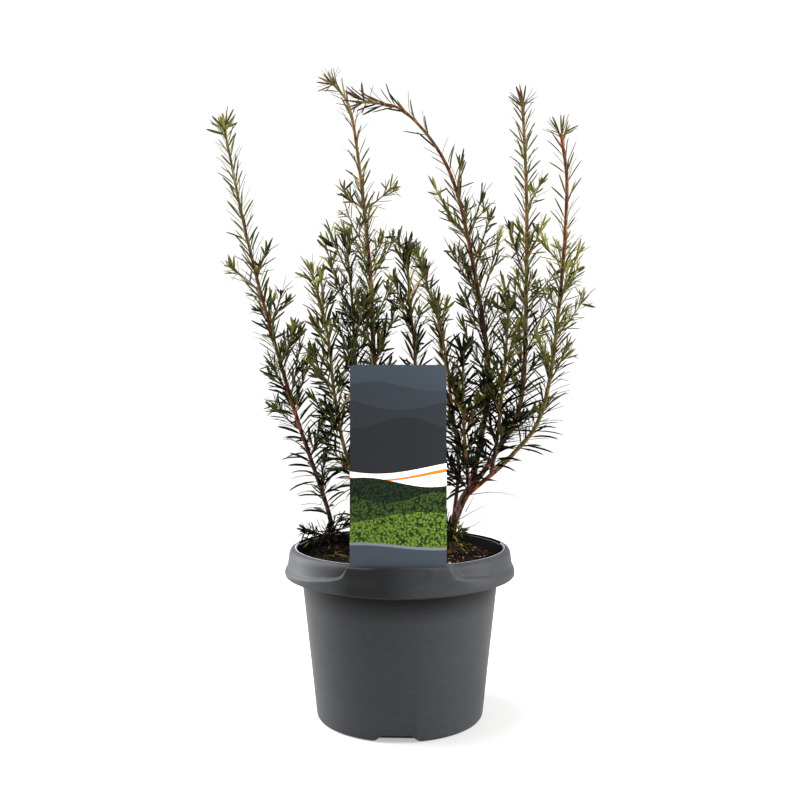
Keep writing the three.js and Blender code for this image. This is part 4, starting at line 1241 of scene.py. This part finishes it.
def limb_radius(name, share):
    stem, line = STEMS[name], lines[name]
    even = stem["radius"][0] + (stem["radius"][1] - stem["radius"][0]) * share
    return even + stem.get("flare", 0) * np.exp(-share * line["length"] / FLARE_HEIGHT)


def twig_radius(share):
    return SHOOT_RADIUS[0] + (SHOOT_RADIUS[1] - SHOOT_RADIUS[0]) * share


def relief_at(points, sizes):
    """Noise between -1 and 1 at each point, with a size for each axis in mm."""
    return np.array([noise.noise(Vector(point)) for point in points / np.array(sizes)])


def tube(line, first, last, radius_at, sides, bark_at, rough=TUBE_ROUGHNESS["twig"], foot=0.0):
    """Rings and faces of a tapered tube with relief, and the bark of each face."""
    count = max(4, int((last - first) * line["length"] / RING_STEP))
    shares = np.linspace(first, last, count + 1)
    tangents = way(line, shares)
    chord = np.abs(line["places"][-1] - line["places"][0])
    across, up = square_to(tangents, np.array([0.0, 1.0, 0.0]) if chord[1] < chord[2] else UP)
    middles = place(line, shares)
    middles[0] -= tangents[0] * foot
    turn = np.arange(sides) * 2 * math.pi / sides
    outward = across[:, None] * np.cos(turn)[None, :, None] + up[:, None] * np.sin(turn)[None, :, None]
    radii = np.repeat(radius_at(shares)[:, None], sides, axis=1)
    even = (middles[:, None] + outward * radii[..., None]).reshape(-1, 3)
    plates, ridges = relief_at(even, PLATE_MM), relief_at(even, RIDGE_MM)
    radii = radii * (1 + rough * (plates + 0.7 * ridges)).reshape(radii.shape)
    rings = middles[:, None] + outward * radii[..., None]
    caps = [middles[0] - tangents[0] * 0.2, middles[-1] + tangents[-1] * radii[-1].mean() * 0.8]
    points = np.concatenate([rings.reshape(-1, 3), caps])
    j, low, high, end = np.arange(sides), len(points) - 2, len(points) - 1, count * sides
    tris = np.concatenate([
        np.stack([(j + 1) % sides, j, np.full(sides, low)], -1),
        np.stack([end + j, end + (j + 1) % sides, np.full(sides, high)], -1),
    ])
    streaks = relief_at(rings[:-1].reshape(-1, 3), STREAK_MM).reshape(count, sides)
    barks = bark_at(np.repeat(shares[:-1, None], sides, axis=1), streaks)
    barks = np.concatenate([barks.ravel(), barks[0], barks[-1]])
    return points, grid_faces(count + 1, sides, True), tris, barks


def join(parts):
    """Joins sets of points, four-sided faces, three-sided faces and materials into one."""
    starts = np.cumsum([0] + [len(part[0]) for part in parts])
    points = np.concatenate([part[0] for part in parts])
    quads = np.concatenate([part[1] + start for part, start in zip(parts, starts)])
    tris = np.concatenate([part[2] + start for part, start in zip(parts, starts)])
    on_quads = [part[3][:len(part[1])] for part in parts]
    on_tris = [part[3][len(part[1]):] for part in parts]
    return points, quads, tris, np.concatenate(on_quads + on_tris)


def leader_bark(name):
    """The bark at each share of a stem: dark, olive or russet, with streaks of olive."""
    green, dark = STEMS[name].get("green", (2, 2)), STEMS[name].get("dark", (2, 2))

    def bark_at(shares, streaks):
        is_dark = (shares > dark[0] - 0.1 * streaks) & (shares < dark[1] + 0.2 * streaks)
        is_green = (shares > green[0] + 0.12 * streaks) & (shares < green[1] + 0.1) & (streaks > -0.35)
        barks = np.where(streaks > 0.3, OLIVE, RUSSET)
        return np.where(is_green, OLIVE, np.where(is_dark, OLD, barks))
    return bark_at


def twig_bark(fresh):
    """Side shoots are olive, with a russet foot that is longer where they are older."""
    def bark_at(shares, streaks):
        return np.where(shares + 0.8 * streaks < (0.1 if fresh else 0.45), RUSSET, OLIVE)
    return bark_at


# %% [markdown]
# The bare limbs come first, one piece for each solid of wood: the three stems at soil level and the
# boughs that spring from them, up to where the needles begin.

# %% Trunks and boughs
ROOTED_BELOW = 1.0

for name, stem in STEMS.items():
    if not stem["bare"]:
        continue
    foot = ROOTED_BELOW if "flare" in stem else 0.0
    limb = tube(lines[name], 0.0, stem["bare"], lambda s, n=name: limb_radius(n, s), TUBE_SIDES["limb"],
                leader_bark(name), TUBE_ROUGHNESS["limb"], foot)
    node = node_of(name, 0.0)
    settle(build("bark_" + node, *limb[:3], BARKS, limb[3]), "bark", node)

# %% [markdown]
# Inside each mass of foliage run the leader, its side shoots, their twiglets and the spurs.  They are
# joined into one piece for each mass, and the solid of that mass is replaced by it.

# %% Leaders, shoots and twiglets
FRESH_ABOVE = 300
TWIG_THICKNESS = {"shoot": 0.9, "twiglet": 0.65, "spur": 0.65}
masses = {}


def mass_of(name, share):
    return masses.setdefault(node_of(name, share), {"twigs": [], "sprays": []})


for name, stem in STEMS.items():
    if stem["bare"] == 1:
        continue
    cuts = [stem["bare"], stem["split"], 1.0] if "split" in stem else [stem["bare"], 1.0]
    for first, last in zip(cuts, cuts[1:]):
        mass = mass_of(name, (first + last) / 2)
        mass["twigs"].append(tube(lines[name], first, last, lambda s, n=name: limb_radius(n, s),
                                  TUBE_SIDES["leader"], leader_bark(name), TUBE_ROUGHNESS["leader"]))
        kind = "foot" if name.startswith("foot") else "leader"
        mass["sprays"].append({"stem": name, "share": (first + last) / 2, "line": lines[name], "kind": kind,
                               "first": first, "last": last})
for twig in shoots + fine_twigs:
    mass = mass_of(twig["stem"], twig["share"])
    fresh = place(twig["line"], 1.0)[2] > FRESH_ABOVE
    thin = TWIG_THICKNESS[twig["kind"]]
    mass["twigs"].append(tube(twig["line"], 0.0, 1.0, lambda s, k=thin: k * twig_radius(s),
                              TUBE_SIDES[twig["kind"]], twig_bark(fresh)))
    kind = "foot" if twig["stem"].startswith("foot") else twig["kind"]
    mass["sprays"].append(dict(twig, kind=kind, first=0.0, last=1.0))
for name, stem in STEMS.items():
    for points in stem.get("stalks", []):
        stalk = tube(stem_line(points), 0.0, 1.0, lambda s: STALK_RADIUS * (1.2 - s), TUBE_SIDES["stalk"],
                     twig_bark(True))
        mass_of(name, 1.0)["twigs"].append(stalk)
for node, mass in masses.items():
    points, quads, tris, barks = join(mass["twigs"])
    settle(build("twigs_" + node, points, quads, tris, BARKS, barks), "bark", node)

# %% [markdown]
# Needles.  A yew needle is a flat, leathery blade about 20 mm long and 2 mm wide, on a thin stalk that
# runs down the stem.  It has a raised midrib above, two pale bands below and a sharp tip, and it curves
# outwards like a sickle.  A textured card would be lighter, but it shows its edge from the side, so
# each needle is a small closed mesh of seven cross-sections.
#
# The upper side is waxy, so it is fairly smooth and catches the lights as a grey sheen.  Age and light
# set the colour: nearly black-green in the shade below, olive in the sun, yellow-green on new shoots
# and bronze at some tips.  The tints are dealt out by spray as plain colours.

# %% Materials of the needles
NEEDLE_GRAIN_MM = 0.8
TINTS = {
    "deep": ("#060703", 0.03),
    "dark": ("#101404", 0.04),
    "green": ("#202708", 0.06),
    "olive": ("#393a0e", 0.08),
    "fresh": ("#525617", 0.1),
    "yellow": ("#787526", 0.1),
    "bronze": ("#4e2b1c", 0.06),
    "brown": ("#3d2812", 0.06),
    "straw": ("#836d44", 0.06),
    "pale_green": ("#26290e", 0.05),
    "pale_olive": ("#46461c", 0.06),
    "pale_yellow": ("#6a6728", 0.08),
}
UNDERSIDES = {"dark": "pale_green", "green": "pale_olive", "olive": "pale_olive", "fresh": "pale_yellow",
              "yellow": "pale_yellow"}
TINT_NAMES = list(TINTS)


def needle_material(name, colour, sheen):
    """Waxed leaf: one plain colour, with a gloss that varies along a fine grain."""
    made, tree, surface = new_material("yew_needle_" + name, Base_Color=linear(colour), IOR=1.45,
                                       Specular_IOR_Level=sheen)
    grain = add(tree, "TexNoise", {"Scale": 1 / (NEEDLE_GRAIN_MM * MM), "Detail": 2.0})
    gloss = add(tree, "MapRange", {"Value": grain.outputs["Fac"], "To Min": 0.32, "To Max": 0.6})
    tree.links.new(gloss.outputs["Result"], surface.inputs["Roughness"])
    return made


NEEDLE_MATERIALS = [needle_material(name, *look) for name, look in TINTS.items()]
print("needle tints:", len(NEEDLE_MATERIALS))

# %% [markdown]
# All needles of a mass are shaped at once.  Each has a foot on the stem, a direction that leaves the
# stem steeply and bends outwards along the blade, and an upper side.  The blade keeps its width for
# most of its length and then runs to a point.

# %% The shape of a needle
STATIONS = np.array([0.0, 0.07, 0.17, 0.38, 0.66, 0.88, 1.0])
WIDTHS = np.array([0.3, 0.32, 0.82, 1.0, 0.97, 0.66, 0.0])
MIDRIB_HEIGHT = 0.26
KEEL_DEPTH = 0.22


def shape_needles(roots, tangents, outwards, uppers, length, width, lean, curl, droop):
    """Corners of needles as an array of needle, corner and coordinate."""
    bends = lean[:, None] + curl[:, None] * STATIONS[None]
    ways = np.cos(bends)[..., None] * tangents[:, None] + np.sin(bends)[..., None] * outwards[:, None]
    ways[..., 2] -= droop[:, None] * STATIONS[None] ** 2
    ways = unit(ways)
    steps = np.diff(STATIONS)[None, :, None] * length[:, None, None] * (ways[:, 1:] + ways[:, :-1]) / 2
    runs = np.concatenate([np.zeros((len(roots), 1, 3)), np.cumsum(steps, axis=1)], axis=1)
    middles = roots[:, None] + runs
    faces_up = unit(uppers[:, None] - ways * (uppers[:, None] * ways).sum(-1, keepdims=True))
    sides = np.cross(ways, faces_up)
    half = (WIDTHS[None] * width[:, None] / 2)[..., None]
    thick = (0.35 + 0.65 * WIDTHS)[None, :, None]
    left, right = middles - sides * half, middles + sides * half
    top, keel = middles + faces_up * MIDRIB_HEIGHT * thick, middles - faces_up * KEEL_DEPTH * thick
    rings = np.stack([left, top, right, keel], axis=2)[:, :-1]
    return np.concatenate([rings.reshape(len(roots), -1, 3), middles[:, -1:]], axis=1)


def needle_faces(tints):
    """Faces of a number of needles, and the material of each: its tint above, a pale one below."""
    rings, count = len(STATIONS) - 1, len(tints)
    quads = np.vstack([grid_faces(rings, 4, True), [[3, 2, 1, 0]]])
    last = (rings - 1) * 4
    tris = np.array([[last + k, last + (k + 1) % 4, rings * 4] for k in range(4)])
    shift = np.arange(count)[:, None, None] * (rings * 4 + 1)
    pale = np.array([TINT_NAMES.index(UNDERSIDES.get(name, name)) for name in TINT_NAMES])[tints]
    quad_is_under = np.array([k % 4 >= 2 for k in range(len(quads) - 1)] + [True])
    tri_is_under = np.array([False, False, True, True])
    quad_tints = np.where(quad_is_under[None], pale[:, None], tints[:, None])
    tri_tints = np.where(tri_is_under[None], pale[:, None], tints[:, None])
    all_quads, all_tris = (quads[None] + shift).reshape(-1, 4), (tris[None] + shift).reshape(-1, 3)
    return all_quads, all_tris, np.concatenate([quad_tints.ravel(), tri_tints.ravel()])


# %% [markdown]
# The habit of each kind of spray is a few numbers: how far apart its needles stand, how long they are,
# how steeply they leave the stem at its foot and at its tip, and how much they curl.  On a leader they
# stand all round.  On a side shoot their stalks twist, so that they lie mostly in two ranks: flat is
# how far they do.  Low on a leader, in the shade, they are longer, wider, flatter and hang a little.
# High up they are slimmer.  Round each tip stands a tuft of short, broad ones.

# %% Habits of the sprays
HABITS = {
    "leader": {"pitch": 1.65, "length": (18.0, 23.5), "lean": (0.66, 0.46), "curl": 0.3, "flat": 0.1,
               "roll": 0.8, "bare": 1.0, "tuft": 16},
    "shoot": {"pitch": 1.4, "length": (13.5, 17.5), "lean": (0.8, 0.45), "curl": 0.25, "flat": 0.4,
              "roll": 0.6, "bare": 3.0, "tuft": 6},
    "twiglet": {"pitch": 1.35, "length": (10.5, 14.5), "lean": (0.8, 0.45), "curl": 0.25, "flat": 0.45,
                "roll": 0.6, "bare": 2.0, "tuft": 4},
    "spur": {"pitch": 1.35, "length": (13.0, 17.5), "lean": (0.8, 0.4), "curl": 0.3, "flat": 0.3,
             "roll": 0.6, "bare": 3.0, "tuft": 4},
    "foot": {"pitch": 1.1, "length": (11.0, 15.5), "lean": (0.9, 0.5), "curl": 0.4, "flat": 0.2,
             "roll": 0.6, "bare": 1.5, "tuft": 6},
}
THINNER_ABOVE = {"heights": (230.0, 320.0), "pitch": (1.02, 1.95)}
LOW_ON_LEADER = {"heights": (190.0, 300.0), "lean": 0.45, "droop": 0.5, "flat": 0.25,
                 "longer": 0.1, "wider": 0.2}
NEEDLE_WIDTH = (1.55, 2.1)
NARROWER_ABOVE = {"heights": (320.0, 400.0), "width": (1.0, 0.86)}
TUFT = {"depth": 7.0, "longer": 0.86, "wider": 1.3, "lean": (0.1, 1.35)}
TIP_STRETCH = 14.0
LEAST_LEAN = 0.06
print("kinds of spray:", len(HABITS))

# %% [markdown]
# The tint of a needle is a step from the darkest to the lightest green.  It is set by how much light
# falls there: more with height, less towards the middle of the crown and inside the dense clump at the
# right, more on the side that looks up to the left, and most on young tips.  Chance moves whole sprays
# and single needles by a part of a step.  A few needles are bronze, brown or straw instead.

# %% Tints by the light
TINT_STEPS = 6
LIGHT_BY_HEIGHT = ((150.0, 230.0, 310.0, 420.0), (0.0, 0.35, 1.35, 2.65))
LIGHT_FROM = np.array([-0.35, -0.2, 0.9])
LIT_SIDE, YOUNG_TIP = 0.6, 1.3
INSIDE_CROWN = {"reach": 55, "reach_per_mm": 0.3, "darker": 1.35}
RIGHT_CLUMP = {"across": (10.0, 50.0, 88.0, 112.0), "heights": (225.0, 315.0), "darker": 1.5}
CHANCE = {"spray": 0.65, "needle": 0.65, "brown": 0.08, "straw": 0.006}


def deal_tints(spray, places, outward, to_tip, dice):
    """Tint of each needle, from 0 for the darkest."""
    stem = STEMS[spray["stem"]]
    step = np.interp(places[:, 2] + stem.get("lift", 0), *LIGHT_BY_HEIGHT) - stem.get("shade", 0)
    step += CHANCE["spray"] * dice.standard_normal()
    under_clump = np.interp(places[:, 0], RIGHT_CLUMP["across"], (0, 1, 1, 0))
    step -= RIGHT_CLUMP["darker"] * under_clump * np.interp(places[:, 2], RIGHT_CLUMP["heights"], (1, 0))
    reach = INSIDE_CROWN["reach"] + INSIDE_CROWN["reach_per_mm"] * (places[:, 2] - SOIL_TOP)
    step -= INSIDE_CROWN["darker"] * np.clip(1 - np.hypot(places[:, 0], places[:, 1]) / reach, 0, 1)
    step += LIT_SIDE * outward @ LIGHT_FROM + CHANCE["needle"] * dice.standard_normal(len(places))
    if spray["kind"] != "leader":
        step += YOUNG_TIP * np.clip(1 - to_tip / TIP_STRETCH, 0, 1)
    tints = np.round(step).astype(int).clip(0, TINT_STEPS - 1)
    if spray["kind"] == "leader":
        bronze = stem.get("bronze", 0.0) * np.clip(1.3 - to_tip / TIP_STRETCH, 0, 1)
        tints[dice.random(len(places)) < bronze] = TINT_NAMES.index("bronze")
    tints[(dice.random(len(places)) < CHANCE["brown"]) & (tints > 1)] = TINT_NAMES.index("brown")
    tints[dice.random(len(places)) < CHANCE["straw"]] = TINT_NAMES.index("straw")
    return tints


print("steps of green:", TINT_NAMES[:TINT_STEPS])

# %% [markdown]
# One function grows the needles of one stretch of twig.  It deals out their places along the twig and
# round it, how they lean, curl and hang, their length and width, and which way the flat side looks.
# Towards a tip they are shorter and close up along the twig.  High ones rise a little, and those at
# the feet hang.  Needles that would stand in the soil, the rim or the label are left out.

# %% Needles on one twig
CLOSES_AT_TIP = {"lean": 0.6, "curl": 0.5}
LENGTH_ALONG = {"foot": 1.08, "less_at_tip": 0.2}
LEAN_SCATTER = 0.12
RISE_OF_HIGH, DROOP_AT_FEET = 0.15, 0.9
ROOT_IN_BARK = 0.75
NEEDLE_MARGIN = 0.8
NO_TIP = 1e3


def needles_on(spray, dice):
    """Corners and tints of the needles on one stretch of twig."""
    habit, line, stem = HABITS[spray["kind"]], spray["line"], STEMS[spray["stem"]]
    start, end = spray["first"] * line["length"] + habit["bare"], spray["last"] * line["length"]
    pitch = habit["pitch"]
    if spray["kind"] != "leader":
        pitch *= np.interp(place(line, 0.5)[2], THINNER_ABOVE["heights"], THINNER_ABOVE["pitch"])
    even = max(4, int((end - start) / pitch))
    tuft = habit["tuft"] if spray["last"] == 1.0 else 0
    count = even + tuft
    in_tuft = np.arange(count) >= even
    run = start + (end - start) * (np.arange(count) + dice.random(count)) / even
    run[in_tuft] = end - TUFT["depth"] * dice.random(tuft) ** 2
    shares = np.clip(run / line["length"], 0, 1)
    to_tip = (end - run) if spray["last"] == 1.0 else np.full(count, NO_TIP)

    places, tangents = place(line, shares), way(line, shares)
    radial = unit(places * [1, 1, 0] + 1e-6)
    low = np.zeros(count)
    if spray["kind"] == "leader":
        low = np.interp(places[:, 2], LOW_ON_LEADER["heights"], (1, 0))
        upper, side = square_to(tangents, radial)
    else:
        side, upper = square_to(tangents, unit(0.6 * radial + 0.8 * UP))
    flat = habit["flat"] + LOW_ON_LEADER["flat"] * low
    turn = np.arange(count) * GOLDEN_ANGLE + 0.5 * dice.random(count) + spray["share"] * 40
    rise = np.arcsin(np.sin(turn)) * (1 - flat) + 0.2 * flat
    aside = np.sign(np.cos(turn))[:, None] * np.cos(rise)[:, None] * side
    outward = aside + np.sin(rise)[:, None] * upper

    closing = np.clip(1 - to_tip / TIP_STRETCH, 0, 1)
    lean = np.interp(shares, [0, 1], habit["lean"]) * (1 - CLOSES_AT_TIP["lean"] * closing)
    lean += LOW_ON_LEADER["lean"] * low
    tuft_lean = TUFT["lean"][0] + TUFT["lean"][1] * dice.random(count)
    lean = np.where(in_tuft, tuft_lean, lean + LEAN_SCATTER * dice.standard_normal(count))
    lean = np.maximum(lean, LEAST_LEAN)
    curl = habit["curl"] * (1 - CLOSES_AT_TIP["curl"] * closing) * (0.5 + dice.random(count))
    length = habit["length"][0] + (habit["length"][1] - habit["length"][0]) * dice.random(count)
    along = LENGTH_ALONG["foot"] - LENGTH_ALONG["less_at_tip"] * shares
    length *= along * (1 + LOW_ON_LEADER["longer"] * low)
    length *= np.where(in_tuft, TUFT["longer"], 1.0) * stem.get("short", 1.0)
    width = NEEDLE_WIDTH[0] + (NEEDLE_WIDTH[1] - NEEDLE_WIDTH[0]) * dice.random(count)
    width *= (1 + LOW_ON_LEADER["wider"] * low) * stem.get("slim", 1.0)
    width *= np.interp(places[:, 2], NARROWER_ABOVE["heights"], NARROWER_ABOVE["width"])
    width *= np.where(in_tuft, TUFT["wider"], 1.0)
    droop = (LOW_ON_LEADER["droop"] * low - RISE_OF_HIGH) * (0.4 + 1.2 * dice.random(count))
    if spray["kind"] == "foot":
        droop += DROOP_AT_FEET * dice.random(count)

    bends = lean + curl / 2
    facing = np.sin(bends)[:, None] * tangents - np.cos(bends)[:, None] * outward
    sky = np.where((flat > 0.4)[:, None], UP, upper)
    faces_up = unit((1 - flat)[:, None] * facing + flat[:, None] * sky)
    blade = np.cos(bends)[:, None] * tangents + np.sin(bends)[:, None] * outward
    roll = (habit["roll"] * dice.standard_normal(count))[:, None]
    faces_up = np.cos(roll) * faces_up + np.sin(roll) * np.cross(blade, faces_up)
    on_stem = line is lines[spray["stem"]]
    radius = limb_radius(spray["stem"], shares) if on_stem else twig_radius(shares)
    roots = places + outward * (radius * ROOT_IN_BARK)[:, None]
    corners = shape_needles(roots, tangents, outward, faces_up, length, width, lean, curl, droop)
    tints = deal_tints(spray, places, outward, to_tip, dice)

    kept = open_air(corners[:, ::4], NEEDLE_MARGIN).all(axis=1)
    first, last, share_kept = stem.get("thin_out", (2, 2, 1))
    if spray["kind"] == "leader":
        kept &= (shares < first) | (shares > last) | (dice.random(count) < share_kept)
    return corners[kept], tints[kept]


trial = {"stem": "left", "share": 0.5, "line": lines["left"], "kind": "leader", "first": 0.1, "last": 1.0}
print("needles on the left leader:", len(needles_on(trial, np.random.default_rng(0))[0]))

# %% [markdown]
# The needles of each mass are joined into one piece, which stands for the mass's solid as the twigs do.
# Each mass has its own series of random numbers, so a change in one leaves the others as they are.

# %% Needles along every twig
FIRST_SEED = 700

total = 0
for order, (node, mass) in enumerate(masses.items()):
    dice = np.random.default_rng(FIRST_SEED + order)
    grown = [needles_on(spray, dice) for spray in mass["sprays"]]
    corners = np.concatenate([item[0] for item in grown])
    quads, tris, face_tints = needle_faces(np.concatenate([item[1] for item in grown]))
    piece = build("leaves_" + node, corners, quads, tris, NEEDLE_MATERIALS, face_tints, crisp=25.0)
    settle(piece, "yew_needles", node)
    total += len(corners)
print("needles:", total)

# %% [markdown]
# Some needles have dropped.  They lie flat on the soil, dry and yellowed, most of them under the left
# stem, where the low twiglets shed them.

# %% Fallen needles
FALLEN = {"count": 46, "circle": 70.0, "under_left": 18, "middle": (-52.0, -8.0), "spread": (10.0, 9.0),
          "length": (7.0, 14.0), "width": (0.7, 1.2), "tilt": 0.12,
          "tints": {"straw": 0.06, "pale_olive": 0.1, "pale_green": 0.34, "brown": 0.5}}


def fallen_needles():
    dice = np.random.default_rng(77)
    count, near = FALLEN["count"], FALLEN["under_left"]
    spots = strew(count, dice, FALLEN["circle"])
    beside = np.array(FALLEN["spread"]) * dice.standard_normal((near, 2))
    spots[:near, :2] = np.array(FALLEN["middle"]) + beside
    spots = spots[np.hypot(spots[:, 0], spots[:, 1]) < FALLEN["circle"] + 2]
    spots[:, 2] = [soil_height(x, y) + 0.9 + 0.8 * dice.random() for x, y in spots[:, :2]]
    count = len(spots)
    turn = 2 * math.pi * dice.random(count)
    along = np.column_stack([np.cos(turn), np.sin(turn), FALLEN["tilt"] * dice.random(count)])
    aside = np.column_stack([-np.sin(turn), np.cos(turn), np.zeros(count)])
    upper = unit(UP + 0.5 * dice.standard_normal((count, 3)))
    length, width = (least + (most - least) * dice.random(count)
                     for least, most in (FALLEN["length"], FALLEN["width"]))
    straight, curl = np.zeros(count), dice.random(count) - 0.5
    corners = shape_needles(spots, along, aside, upper, length, width, straight, curl, straight)
    names = dice.choice(list(FALLEN["tints"]), count, p=list(FALLEN["tints"].values()))
    quads, tris, tints = needle_faces(np.array([TINT_NAMES.index(name) for name in names]))
    return build("fallen_needles", corners, quads, tris, NEEDLE_MATERIALS, tints, crisp=25.0)


settle(fallen_needles(), "potting_soil", "soil")
